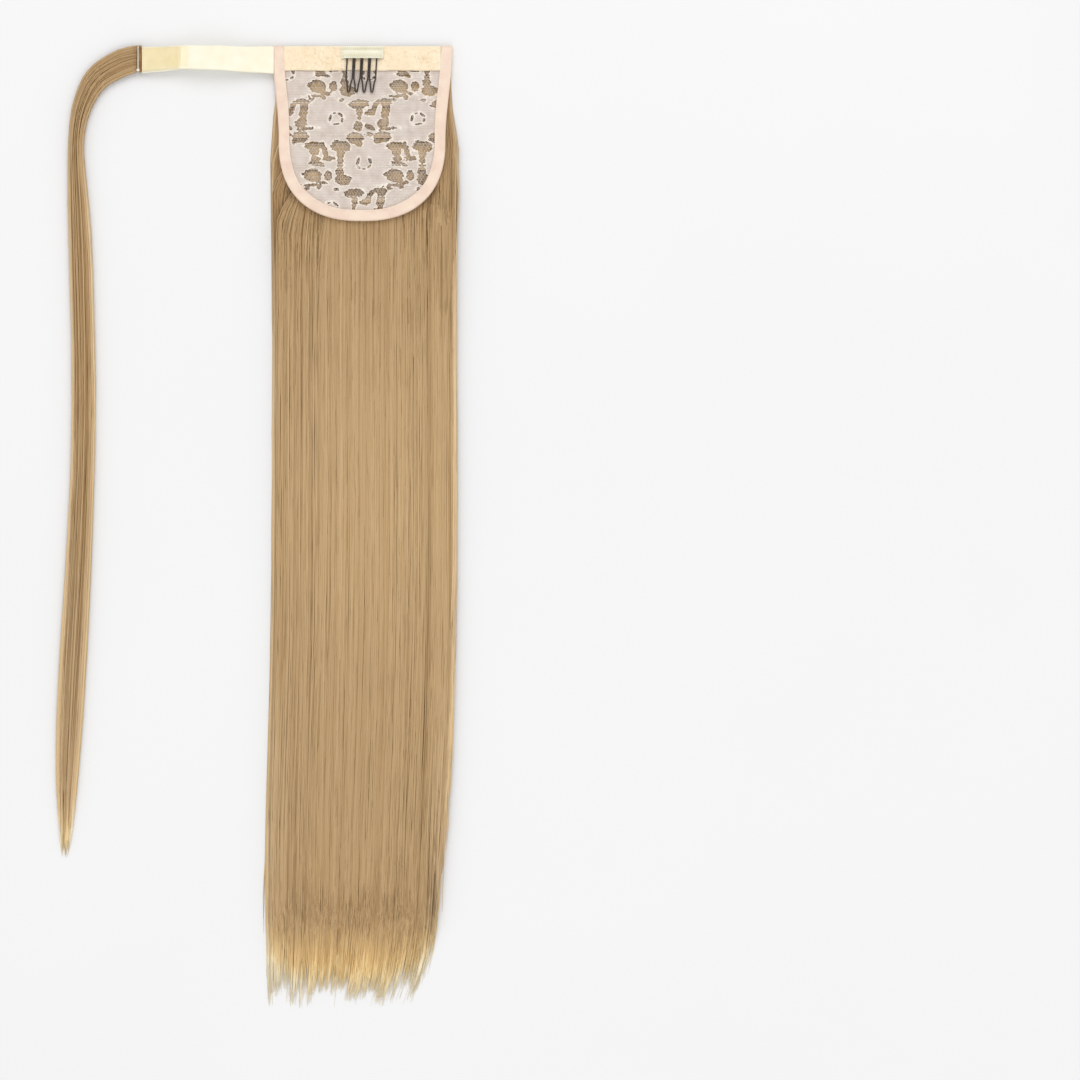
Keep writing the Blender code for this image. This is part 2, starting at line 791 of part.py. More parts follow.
FINISHES = {
    "lace": material("lace", (0.72, 0.65, 0.60), 0.85),
    "binding": material("binding", (0.93, 0.78, 0.66), 0.70),
    "band": material("band", (0.95, 0.84, 0.63), 0.90),
    "cover": material("cover", (0.92, 0.89, 0.70), 0.85),
    "comb": material("comb", (0.035, 0.017, 0.017), 0.30),
    "strap": material("strap", (0.95, 0.91, 0.75), 0.75),
    "hook": material("hook", (0.93, 0.82, 0.52), 0.80),
    "weft": material("weft", (0.20, 0.12, 0.06), 0.60),
    "hair": material("hair", (0.48, 0.33, 0.16), 0.40),
    "tape": material("tape", (0.90, 0.85, 0.70), 0.80),
}


def main():
    base = bpy.data.objects.new("base_plane", None)
    bpy.context.scene.collection.objects.link(base)
    base.matrix_world = BASE_FRAME
    binding_cutter = strap_cutter(base, BINDING_WIDTH + 4 * SEWN_GAP)
    make_binding(base, binding_cutter)
    make_lace(base, binding_cutter)
    make_top_band(base)
    make_comb(base)
    make_comb_cover(base)
    for row in range(ROWS):
        make_weft(row, base)
        make_hair_row(row)
    make_strap()
    make_hook_patch()
    make_strand_weft()
    make_wrap_strand()
    centre_on_origin()


main()
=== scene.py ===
"""Looks of a wrap-around ponytail hairpiece that lies flat with its inner side up.

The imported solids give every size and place. Hair is built as tapering fibres over grooved
cores, lace as a charted sheet with thread relief, and tapes as shaped cloth with stitching.
"""

import logging
import math
from collections.abc import Callable
from dataclasses import dataclass, field
from enum import Enum

import bpy
import numpy as np
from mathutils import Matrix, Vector


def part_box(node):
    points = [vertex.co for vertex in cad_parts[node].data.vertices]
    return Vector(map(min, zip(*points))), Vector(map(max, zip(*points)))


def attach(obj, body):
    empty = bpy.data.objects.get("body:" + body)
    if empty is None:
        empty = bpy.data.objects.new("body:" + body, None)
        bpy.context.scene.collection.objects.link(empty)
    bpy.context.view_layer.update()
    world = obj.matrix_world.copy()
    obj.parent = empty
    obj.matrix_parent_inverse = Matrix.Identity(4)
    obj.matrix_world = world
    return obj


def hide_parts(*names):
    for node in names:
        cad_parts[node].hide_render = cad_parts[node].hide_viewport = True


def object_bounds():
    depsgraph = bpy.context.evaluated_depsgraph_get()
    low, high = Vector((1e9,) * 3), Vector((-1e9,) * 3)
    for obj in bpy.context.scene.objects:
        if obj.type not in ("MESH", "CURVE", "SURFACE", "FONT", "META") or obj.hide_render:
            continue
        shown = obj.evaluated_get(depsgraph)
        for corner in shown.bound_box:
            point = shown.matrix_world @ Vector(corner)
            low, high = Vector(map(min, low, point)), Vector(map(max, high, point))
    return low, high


Array = np.ndarray
Generator = np.random.Generator
Material = bpy.types.Material
Mesh = bpy.types.Mesh
Piece = bpy.types.Object
Socket = bpy.types.NodeSocket
Faces = list[tuple[int, ...]]

LOG = logging.getLogger("hairpiece")
MM = 0.001
MAP_NAME = "OFBake"
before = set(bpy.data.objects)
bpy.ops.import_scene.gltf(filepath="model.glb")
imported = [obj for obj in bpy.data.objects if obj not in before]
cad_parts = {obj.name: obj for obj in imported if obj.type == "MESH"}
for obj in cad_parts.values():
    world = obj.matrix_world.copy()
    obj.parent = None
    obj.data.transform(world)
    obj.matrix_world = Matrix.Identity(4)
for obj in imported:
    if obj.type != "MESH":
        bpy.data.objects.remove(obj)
CAD_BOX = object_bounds()


def srgb(red: int, green: int, blue: int) -> tuple[float, float, float]:
    """Turns a display colour of 0 to 255 into linear light.

    Args:
        red: Red value.
        green: Green value.
        blue: Blue value.

    Returns:
        The linear red, green and blue.
    """
    return tuple(
        part / 12.92 if part <= 0.04045 else ((part + 0.055) / 1.055) ** 2.4
        for part in (red / 255, green / 255, blue / 255)
    )


def ease(share: Array | float) -> Array:
    """Smoothstep of a share, clipped to 0 and 1."""
    share = np.clip(share, 0.0, 1.0)
    return share * share * (3.0 - 2.0 * share)


def smooth_rows(rows: tuple, at: Array) -> Array:
    """Reads a table between its rows with a Catmull-Rom curve.

    Args:
        rows: Rows of equal length.
        at: Row positions, from 0 to the last row's number.

    Returns:
        One row of values for each position.
    """
    table = np.array(rows, dtype=float)
    last = len(table) - 1
    low = np.clip(np.floor(at).astype(int), 0, last - 1)
    t = (np.asarray(at) - low)[..., None]
    a, b = table[np.maximum(low - 1, 0)], table[low]
    c, d = table[low + 1], table[np.minimum(low + 2, last)]
    curve = 2 * b + (c - a) * t + (2 * a - 5 * b + 4 * c - d) * t**2
    return 0.5 * (curve + (3 * b - a - 3 * c + d) * t**3)


def grid_points(x: Array, y: Array, z: Array | float) -> Array:
    """Points whose coordinates are spread over one grid."""
    return np.stack(np.broadcast_arrays(x, y, z), -1)


def arc_length(line: Array) -> Array:
    """How far along a line each of its points lies."""
    return np.concatenate([[0], np.cumsum(np.linalg.norm(np.diff(line, axis=0), axis=1))])


def split_faces(faces: Faces) -> list[Array]:
    """Sorts faces into those of four points and those of three."""
    return [np.array([f for f in faces if len(f) == n], dtype=int).reshape(-1, n) for n in (4, 3)]


def deselect_all() -> None:
    """Clears the selection, so that an operator acts on new things alone."""
    for item in bpy.context.selected_objects:
        item.select_set(False)


def take_mesh(piece: Piece) -> tuple[Array, Faces]:
    """Reads an object's points and faces, then removes it.

    Args:
        piece: A mesh object with its place applied.

    Returns:
        Its points, and its faces as tuples of point numbers.
    """
    mesh = piece.data
    points = np.empty(len(mesh.vertices) * 3)
    mesh.vertices.foreach_get("co", points)
    faces = [tuple(face.vertices) for face in mesh.polygons]
    bpy.data.objects.remove(piece)
    return points.reshape(-1, 3), faces


class MeshBuilder:
    """Gathers points, faces and a colour map's places, and makes them one mesh."""

    def __init__(self) -> None:
        """Starts with nothing gathered."""
        self.points: list[Array] = []
        self.places: list[Array] = []
        self.quads: list[Array] = []
        self.triangles: list[Array] = []
        self.count = 0

    def add(
        self,
        points: Array,
        quads: Array | None = None,
        triangles: Array | None = None,
        places: Array | None = None,
    ) -> None:
        """Adds a part whose faces number its own points from 0.

        Args:
            points: Points, any shape ending in 3.
            quads: Faces of four points.
            triangles: Faces of three points.
            places: Map place of each point, any shape ending in 2.
        """
        flat = np.asarray(points, dtype=float).reshape(-1, 3)
        spot = np.zeros((len(flat), 2)) if places is None else np.asarray(places).reshape(-1, 2)
        self.points.append(flat)
        self.places.append(spot)
        if quads is not None and len(quads):
            self.quads.append(np.asarray(quads, dtype=int).reshape(-1, 4) + self.count)
        if triangles is not None and len(triangles):
            self.triangles.append(np.asarray(triangles, dtype=int).reshape(-1, 3) + self.count)
        self.count += len(flat)

    def add_slab(self, top: Array, bottom: Array, places: Array | None = None) -> None:
        """Adds a closed sheet between two grids of points.

        Args:
            top: Grid of (along, across, 3), whose along x across points up.
            bottom: The grid under it.
            places: Map places of the grid, (along, across, 2).
        """
        rows, columns = top.shape[:2]
        over = np.arange(rows * columns).reshape(rows, columns)
        under = over + rows * columns
        faces = [
            np.stack([over[:-1, :-1], over[1:, :-1], over[1:, 1:], over[:-1, 1:]], -1),
            np.stack([under[:-1, :-1], under[:-1, 1:], under[1:, 1:], under[1:, :-1]], -1),
            np.stack([over[:-1, 0], under[:-1, 0], under[1:, 0], over[1:, 0]], -1),
            np.stack([over[1:, -1], under[1:, -1], under[:-1, -1], over[:-1, -1]], -1),
            np.stack([over[0, :-1], over[0, 1:], under[0, 1:], under[0, :-1]], -1),
            np.stack([over[-1, :-1], under[-1, :-1], under[-1, 1:], over[-1, 1:]], -1),
        ]
        quads = np.concatenate([face.reshape(-1, 4) for face in faces])
        both = None if places is None else np.stack([places, places])
        self.add(np.stack([top, bottom]), quads, None, both)

    def add_fibres(
        self, paths: Array, widths: Array, tones: Array, lengthwise: Array, rise: float = 0.45
    ) -> None:
        """Adds closed three-sided fibres that taper along their paths.

        Args:
            paths: Points of (fibre, station, 3).
            widths: Width at each (fibre, station).
            tones: Tone at each (fibre, station), the map's first place.
            lengthwise: The map's second place at each (fibre, station).
            rise: Height of a fibre's ridge as a share of its width.
        """
        fibres, stations, _ = paths.shape
        along = np.gradient(paths, axis=1)
        flat = np.stack([-along[..., 1], along[..., 0], np.zeros_like(along[..., 0])], -1)
        flat /= np.maximum(np.linalg.norm(flat, axis=-1, keepdims=True), 1e-9)
        half = flat * widths[..., None] / 2
        lift = np.zeros_like(paths)
        lift[..., 2] = widths * rise
        rings = np.stack([paths + half, paths + lift, paths - half], axis=2)
        index = np.arange(fibres * stations * 3).reshape(fibres, stations, 3)
        here, after = index[:, :-1], index[:, 1:]
        quads = np.stack([here, np.roll(here, -1, 2), np.roll(after, -1, 2), after], -1)
        caps = np.concatenate([index[:, 0][:, [0, 2, 1]], index[:, -1][:, [0, 1, 2]]])
        spread = 0.004
        places = np.empty((fibres, stations, 3, 2))
        places[..., 0] = tones[..., None] + np.array([-spread, 0.0, spread])
        places[..., 1] = lengthwise[..., None]
        self.add(rings, quads, caps, places)

    def add_tubes(self, paths: Array, radius: float, sides: int = 6) -> None:
        """Adds closed round threads of one thickness.

        Args:
            paths: Points of (thread, station, 3).
            radius: Half the thread's thickness.
            sides: Points round the thread.
        """
        threads, stations, _ = paths.shape
        along = np.gradient(paths, axis=1)
        along /= np.maximum(np.linalg.norm(along, axis=-1, keepdims=True), 1e-9)
        guide = np.zeros_like(along)
        guide[..., 2] = 1.0
        steep = np.abs(along[..., 2]) > 0.9
        guide[steep] = (0.0, 1.0, 0.0)
        side = np.cross(along, guide)
        side /= np.maximum(np.linalg.norm(side, axis=-1, keepdims=True), 1e-9)
        up = np.cross(side, along)
        turn = 2 * np.pi * np.arange(sides) / sides
        shape = side[:, :, None] * np.cos(turn)[:, None] + up[:, :, None] * np.sin(turn)[:, None]
        rings = paths[:, :, None] + shape * radius
        index = np.arange(threads * stations * sides).reshape(threads, stations, sides)
        here, after = index[:, :-1], index[:, 1:]
        quads = np.stack([here, np.roll(here, -1, 2), np.roll(after, -1, 2), after], -1)
        fan = np.array([[0, k + 1, k] for k in range(1, sides - 1)])
        caps = np.concatenate(
            [index[:, 0][:, fan].reshape(-1, 3), index[:, -1][:, fan[:, ::-1]].reshape(-1, 3)]
        )
        self.add(rings, quads.reshape(-1, 4), caps)

    def add_copies(
        self, points: Array, faces: Faces, origins: Array, x_axes: Array, y_axes: Array
    ) -> None:
        """Adds a small shape at many places, each with its own points.

        Args:
            points: The shape's points.
            faces: The shape's faces, of three or four points.
            origins: Where each copy goes.
            x_axes: Each copy's X direction.
            y_axes: Each copy's Y direction.
        """
        z_axes = np.cross(x_axes, y_axes)
        frames = np.stack([x_axes, y_axes, z_axes], axis=1)
        placed = origins[:, None] + np.einsum("pk,nkc->npc", points, frames)
        steps = (np.arange(len(origins)) * len(points))[:, None, None]
        fours, threes = split_faces(faces)
        self.add(placed, fours[None] + steps, threes[None] + steps)

    def make(self, name: str) -> Mesh:
        """Turns what was gathered into a smooth mesh.

        Args:
            name: The mesh's name.

        Returns:
            The mesh, with its colour map.
        """
        none = np.empty((0,), dtype=int)
        quads = np.concatenate(self.quads) if self.quads else none.reshape(0, 4)
        triangles = np.concatenate(self.triangles) if self.triangles else none.reshape(0, 3)
        points = np.concatenate(self.points)
        corners = np.concatenate([quads.ravel(), triangles.ravel()])
        sizes = np.concatenate([np.full(len(quads), 4), np.full(len(triangles), 3)])
        mesh = bpy.data.meshes.new(name)
        mesh.vertices.add(len(points))
        mesh.vertices.foreach_set("co", points.ravel())
        mesh.loops.add(len(corners))
        mesh.loops.foreach_set("vertex_index", corners)
        mesh.polygons.add(len(sizes))
        mesh.polygons.foreach_set("loop_start", np.cumsum(sizes) - sizes)
        mesh.update(calc_edges=True)
        layer = mesh.uv_layers.new(name=MAP_NAME)
        layer.uv.foreach_set("vector", np.concatenate(self.places)[corners].ravel())
        mesh.validate()
        mesh.shade_smooth()
        return mesh

    def place(self, name: str, finish: Material, slot: str, stands_for: tuple[str, ...] = ()) -> Piece:
        """Turns what was gathered into a piece that rides on the model."""
        return place_piece(name, self.make(name), finish, stands_for)


def place_piece(
    name: str, mesh: Mesh, finish: Material, stands_for: tuple[str, ...] = ()
) -> Piece:
    """Puts a mesh in the scene as a piece that rides on the model.

    Args:
        name: The piece's name.
        mesh: Its mesh, in the model's own frame.
        finish: Its material.
        stands_for: Nodes that it replaces.

    Returns:
        The piece.
    """
    mesh.materials.clear()
    mesh.materials.append(finish)
    piece = bpy.data.objects.new(name, mesh)
    bpy.context.scene.collection.objects.link(piece)
    if stands_for:
        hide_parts(*stands_for)
    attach(piece, "root")
    LOG.info("%s: %d points, %d faces", name, len(mesh.vertices), len(mesh.polygons))
    return piece


# Finishes


class Weave(Enum):
    """How a cloth's threads lie."""

    PLAIN = "plain"
    KNIT = "knit"
    PILE = "pile"


class Graph:
    """A material's node tree, with short calls for the nodes used here."""

    def __init__(self, name: str) -> None:
        """Makes an empty Principled material.

        Args:
            name: The material's name.
        """
        self.material = bpy.data.materials.new(name)
        self.material.use_nodes = True
        self.nodes = self.material.node_tree.nodes
        self.links = self.material.node_tree.links
        self.shader = self.nodes["Principled BSDF"]

    def add(self, kind: str, values: dict | None = None, **settings: object) -> bpy.types.Node:
        """Adds a node.

        Args:
            kind: The node's type name.
            values: Socket values by name or number.
            settings: Properties of the node.

        Returns:
            The node.
        """
        node = self.nodes.new(kind)
        for key, value in settings.items():
            setattr(node, key, value)
        for key, value in (values or {}).items():
            node.inputs[key].default_value = value
        return node

    def join(self, source: Socket, target: Socket) -> None:
        """Links two sockets."""
        self.links.new(source, target)

    def place(self) -> Socket:
        """Object coordinates, in metres."""
        return self.add("ShaderNodeTexCoord").outputs["Object"]

    def dress(self, colour: Socket, **values: float) -> None:
        """Gives the shader its colour and plain values, named with _ for each space."""
        self.join(colour, self.shader.inputs["Base Color"])
        for name, value in values.items():
            self.shader.inputs[name.replace("_", " ")].default_value = value

    def wave(self, vector: Socket, period: float, axis: str) -> Socket:
        """Parallel threads as a wave.

        Args:
            vector: Coordinates in metres.
            period: Distance between threads, in metres.
            axis: X, Y, Z or DIAGONAL.

        Returns:
            The wave's value, from 0 to 1.
        """
        radians_per_unit = 20.0
        scale = 2 * math.pi / (radians_per_unit * period)
        node = self.add("ShaderNodeTexWave", {"Scale": scale}, bands_direction=axis)
        self.join(vector, node.inputs["Vector"])
        return node.outputs["Fac"]

    def noise(self, vector: Socket, scale: float, detail: float = 3.0) -> Socket:
        """Soft noise, from 0 to 1."""
        node = self.add("ShaderNodeTexNoise", {"Scale": scale, "Detail": detail})
        self.join(vector, node.inputs["Vector"])
        return node.outputs["Fac"]

    def math(self, operation: str, first: Socket, second: Socket | float) -> Socket:
        """Combines two values.

        Args:
            operation: ADD, MULTIPLY and so on.
            first: The first value.
            second: The second value, a socket or a number.

        Returns:
            The result.
        """
        node = self.add("ShaderNodeMath", operation=operation)
        self.join(first, node.inputs[0])
        if isinstance(second, (int, float)):
            node.inputs[1].default_value = second
        else:
            self.join(second, node.inputs[1])
        return node.outputs[0]

    def step(self, value: Socket, limits: tuple[float, float]) -> Socket:
        """Rises softly from 0 to 1 between two limits.

        Args:
            value: The value that is read.
            limits: Where the rise starts and ends.

        Returns:
            The step's value.
        """
        sizes = {"From Min": limits[0], "From Max": limits[1]}
        node = self.add("ShaderNodeMapRange", sizes, interpolation_type="SMOOTHSTEP")
        self.join(value, node.inputs["Value"])
        return node.outputs["Result"]

    def ramp(self, value: Socket, stops: tuple) -> Socket:
        """Colours by value.

        Args:
            value: The value that is read.
            stops: Pairs of place and linear colour.

        Returns:
            The colour.
        """
        node = self.add("ShaderNodeValToRGB")
        elements = node.color_ramp.elements
        while len(elements) < len(stops):
            elements.new(0.5)
        for element, (place, colour) in zip(elements, stops):
            element.position = place
            element.color = (*colour, 1.0)
        self.join(value, node.inputs[0])
        return node.outputs["Color"]

    def blend(self, share: Socket | float, first: Socket, second: Socket, way: str = "MIX") -> Socket:
        """Mixes two colours.

        Args:
            share: How much of the second shows.
            first: The first colour.
            second: The second colour.
            way: The mix's blend type.

        Returns:
            The mixed colour.
        """
        node = self.add("ShaderNodeMix", data_type="RGBA", blend_type=way)
        if isinstance(share, (int, float)):
            node.inputs[0].default_value = share
        else:
            self.join(share, node.inputs[0])
        self.join(first, node.inputs[6])
        self.join(second, node.inputs[7])
        return node.outputs[2]

    def bump(self, height: Socket, strength: float, distance: float) -> None:
        """Gives the surface relief."""
        node = self.add("ShaderNodeBump", {"Strength": strength, "Distance": distance})
        self.join(height, node.inputs["Height"])
        self.join(node.outputs["Normal"], self.shader.inputs["Normal"])


@dataclass(frozen=True)
class ClothFinish:
    """Cloth of one colour family, with threads, soft mottling and sheen."""

    name: str
    colour: tuple[float, float, float]
    shade: tuple[float, float, float]
    pitch: float = 0.5 * MM
    roughness: float = 0.85
    sheen: float = 0.15
    relief: float = 0.5
    weave: Weave = Weave.PLAIN

    def threads(self, graph: Graph, vector: Socket) -> Socket:
        """The weave's height.

        Args:
            graph: The material that is made.
            vector: Object coordinates.

        Returns:
            The height, about 0 to 1.
        """
        if self.weave is Weave.PILE:
            return graph.noise(vector, 1.0 / self.pitch, 4.0)
        across = graph.wave(vector, self.pitch, "X")
        along = graph.wave(vector, self.pitch, "Y" if self.weave is Weave.PLAIN else "DIAGONAL")
        return graph.math("MULTIPLY", graph.math("ADD", across, along), 0.5)

    def build(self) -> Material:
        """Makes the material.

        Returns:
            The material.
        """
        graph = Graph(self.name)
        vector = graph.place()
        height = self.threads(graph, vector)
        mottle = graph.noise(vector, 90.0, 4.0)
        mixed = graph.math("ADD", graph.math("MULTIPLY", height, 0.45), mottle)
        colour = graph.ramp(mixed, ((0.30, self.shade), (0.95, self.colour)))
        graph.dress(
            colour,
            Roughness=self.roughness,
            Specular_IOR_Level=0.25,
            Sheen_Weight=self.sheen,
            Sheen_Roughness=0.5,
        )
        graph.bump(height, self.relief, self.pitch * 0.4)
        return graph.material


@dataclass(frozen=True)
class LaceFinish:
    """Fine cotton-like lace: brighter cord where the map's first place nears 1."""

    name: str = "lace"
    ground: tuple[float, float, float] = srgb(222, 210, 201)
    shade: tuple[float, float, float] = srgb(200, 184, 172)
    cord: tuple[float, float, float] = srgb(247, 237, 222)
    rib: float = 1.3 * MM

    def build(self) -> Material:
        """Makes the material.

        Returns:
            The material.
        """
        graph = Graph(self.name)
        vector = graph.place()
        spot = graph.add("ShaderNodeSeparateXYZ")
        graph.join(graph.add("ShaderNodeUVMap", uv_map=MAP_NAME).outputs["UV"], spot.inputs[0])
        ribs = graph.wave(vector, self.rib, "Y")
        fine = graph.wave(vector, self.rib / 3, "X")
        mottle = graph.noise(vector, 150.0, 5.0)
        mixed = graph.math("ADD", graph.math("MULTIPLY", ribs, 0.30), mottle)
        ground = graph.ramp(mixed, ((0.35, self.shade), (0.85, self.ground)))
        cord = graph.ramp(mottle, ((0.3, self.ground), (0.7, self.cord)))
        rim = graph.ramp(spot.outputs["X"], ((0.25, (0.0,) * 3), (0.8, (1.0,) * 3)))
        colour = graph.blend(rim, ground, cord)
        graph.dress(colour, Roughness=0.8, Specular_IOR_Level=0.2, Sheen_Weight=0.1)
        graph.bump(graph.math("ADD", ribs, graph.math("MULTIPLY", fine, 0.6)), 0.5, 0.15 * MM)
        return graph.material


@dataclass(frozen=True)
class HairFinish:
    """Straight fibre: colour by the fibre's tone, with a painted highlight band about mid length,
    turning golden in its last stretch, partly as painted light through the thin ends.
    """

    name: str
    tones: tuple
    tips: tuple
    roughness: float = 0.38
    gold: tuple[float, float] = (0.914, 0.990)
    pale: tuple[float, float] = (0.955, 1.0)
    pale_step: float = 0.48

    def build(self) -> Material:
        """Makes the material.

        Returns:
            The material.
        """
        graph = Graph(self.name)
        spot = graph.add("ShaderNodeSeparateXYZ")
        places = graph.add("ShaderNodeUVMap", uv_map=MAP_NAME).outputs["UV"]
        graph.join(places, spot.inputs[0])
        stretched = graph.add("ShaderNodeMapping", {"Scale": (90.0, 9.0, 1.0)})
        graph.join(places, stretched.inputs["Vector"])
        drift = graph.noise(stretched.outputs["Vector"], 1.0, 2.0)
        shift = graph.math("MULTIPLY", graph.math("SUBTRACT", drift, 0.5), 0.20)
        tone = graph.math("ADD", spot.outputs["X"], shift)
        # Painted light: the last tips are lifted to pale cream, as light shining through the thinnest
        # ends and against the shade between them on the floor.
        pale = graph.math("MULTIPLY", graph.step(spot.outputs["Y"], self.pale), self.pale_step)
        tips = graph.ramp(graph.math("ADD", tone, pale), self.tips)
        # Painted highlight: the hair is brightened in a broad band about mid length.
        fall = graph.ramp(spot.outputs["Y"], LENGTH_HIGHLIGHT_BAND)
        body = graph.blend(1.0, graph.ramp(tone, self.tones), fall, "MULTIPLY")
        # Golden last stretch: partly the hair's own colour, partly painted light shining through the
        # thin ends.
        mixed = graph.blend(graph.step(spot.outputs["Y"], self.gold), body, tips)
        graph.dress(mixed, Roughness=self.roughness, Specular_IOR_Level=0.35)
        return graph.material


@dataclass(frozen=True)
class CoatedWireFinish:
    """Dark coating on steel wire, with fine runs and a soft gloss."""

    name: str = "comb_coating"
    colour: tuple[float, float, float] = srgb(38, 26, 24)
    worn: tuple[float, float, float] = srgb(62, 45, 38)
    roughness: float = 0.34

    def build(self) -> Material:
        """Makes the material.

        Returns:
            The material.
        """
        graph = Graph(self.name)
        vector = graph.place()
        specks = graph.noise(vector, 700.0, 5.0)
        colour = graph.ramp(specks, ((0.45, self.colour), (0.75, self.worn)))
        graph.dress(colour, Roughness=self.roughness, Coat_Weight=0.3)
        graph.bump(graph.noise(vector, 1500.0, 2.0), 0.15, 0.05 * MM)
        return graph.material


@dataclass(frozen=True)
class FloorFinish:
    """Pale matt board with the faintest unevenness."""

    name: str = "floor"
    light: tuple[float, float, float] = (0.86, 0.86, 0.86)
    dark: tuple[float, float, float] = (0.85, 0.85, 0.852)

    def build(self) -> Material:
        """Makes the material.

        Returns:
            The material.
        """
        graph = Graph(self.name)
        vector = graph.place()
        colour = graph.ramp(graph.noise(vector, 2.0), ((0.4, self.dark), (0.6, self.light)))
        graph.dress(colour, Roughness=0.9, Specular_IOR_Level=0.1)
        return graph.material


HAIR_TONES = (
    (0.00, srgb(120, 82, 44)),
    (0.30, srgb(173, 137, 90)),
    (0.50, srgb(198, 166, 121)),
    (0.68, srgb(212, 182, 140)),
    (0.82, srgb(228, 202, 162)),
    (0.92, srgb(236, 204, 152)),
    (1.00, srgb(242, 214, 166)),
)
# Painted highlight: brightness along the hair's length as a share of the whole, brightest in a broad
# sheen band about mid length.
LENGTH_HIGHLIGHT_BAND = (
    (0.00, (0.88, 0.87, 0.86)),
    (0.20, (0.89, 0.88, 0.87)),
    (0.36, (0.97, 0.97, 0.97)),
    (0.50, (1.00, 1.00, 1.00)),
    (0.66, (0.93, 0.92, 0.91)),
    (0.80, (0.89, 0.88, 0.86)),
    (0.91, (0.89, 0.86, 0.82)),
)
# Colours of the hair's last stretch: golden, partly the hair's own colour and partly painted light
# through the thin ends, then pale cream as painted light through the thinnest tips.
HAIR_TIPS = (
    (0.00, srgb(208, 158, 92)),
    (0.40, srgb(242, 197, 126)),
    (0.65, srgb(254, 223, 160)),
    (1.00, srgb(255, 240, 206)),
)


# The frame that the looks are fitted to


@dataclass
class BasePlane:
    """The lace base's plane: x across, y up the product from its top edge, w out of it."""

    sheet: float = 1.0 * MM
    sewn_gap: float = 0.3 * MM
    origin: Array = field(init=False)
    across: Array = field(init=False)
    along: Array = field(init=False)
    out: Array = field(init=False)

    def __post_init__(self) -> None:
        """Reads the plane from the lace's and the band's boxes."""
        low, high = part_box("lace_base")
        band_low, band_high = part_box("top_band")
        tilt = math.atan2(high[2] - low[2] - self.sheet, high[1] - low[1])
        self.across = np.array((1.0, 0.0, 0.0))
        self.along = np.array((0.0, math.cos(tilt), -math.sin(tilt)))
        self.out = np.array((0.0, math.sin(tilt), math.cos(tilt)))
        top_y = high[1] + self.sewn_gap * math.cos(tilt) - self.sheet * math.sin(tilt)
        self.origin = np.array(((band_low[0] + band_high[0]) / 2, top_y, low[2]))

    def place(self, x: Array, y: Array, w: Array) -> Array:
        """Points of the plane's own places."""
        x, y, w = np.broadcast_arrays(x, y, w)
        spread = x[..., None] * self.across + y[..., None] * self.along
        return self.origin + spread + w[..., None] * self.out


@dataclass
class BaseOutline:
    """The base's edge: sides that draw in a little, then a rounded lower end."""

    side_length: float = 76 * MM
    taper: float = 5.5 * MM
    end_power: float = 2.4
    binding: float = 9 * MM
    half: float = field(init=False)
    length: float = field(init=False)

    def __post_init__(self) -> None:
        """Reads the overall width and length from the binding's box."""
        low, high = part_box("edge_binding")
        self.half = (high[0] - low[0]) / 2
        self.length = math.hypot(high[1] - low[1], high[2] - low[2] - 3.6 * MM)

    def half_width(self, drop: Array | float) -> Array:
        """Half the base's width at a distance below its top edge.

        Args:
            drop: Distance below the top edge.

        Returns:
            The half width.
        """
        waist = self.half - self.taper
        side = self.half - self.taper * ease(np.asarray(drop) / self.side_length)
        depth = (np.asarray(drop) - self.side_length) / (self.length - self.side_length)
        end = waist * np.clip(1 - np.clip(depth, 0, 1) ** self.end_power, 0, 1) ** (1 / self.end_power)
        return np.where(np.asarray(drop) <= self.side_length, side, end)

    def edge(self, extra: tuple[float, ...] = ()) -> Array:
        """The outer edge from its top left corner round to its top right one.

        Args:
            extra: More drops on the left side that need a point.

        Returns:
            Points of (x, y) in the base's plane.
        """
        waist = self.half - self.taper
        depth = self.length - self.side_length
        drops = np.linspace(0.0, self.side_length, 30, endpoint=False)
        left_drops = np.unique(np.concatenate([drops, np.array(extra)]))
        turn = np.linspace(0.0, math.pi, 130)
        shape = 2 / self.end_power
        across = np.sign(np.cos(turn)) * np.abs(np.cos(turn)) ** shape
        down = np.clip(np.sin(turn), 0, 1) ** shape
        left = np.stack([-self.half_width(left_drops), -left_drops], -1)
        end = np.stack([-waist * across, -self.side_length - depth * down], -1)
        right = np.stack([self.half_width(drops), -drops], -1)[::-1]
        return np.concatenate([left, end, right])

    @staticmethod
    def inward(edge: Array) -> Array:
        """The unit normal into the base at each point of its edge."""
        along = np.gradient(edge, axis=0)
        along /= np.linalg.norm(along, axis=-1, keepdims=True)
        return np.stack([-along[:, 1], along[:, 0]], -1)


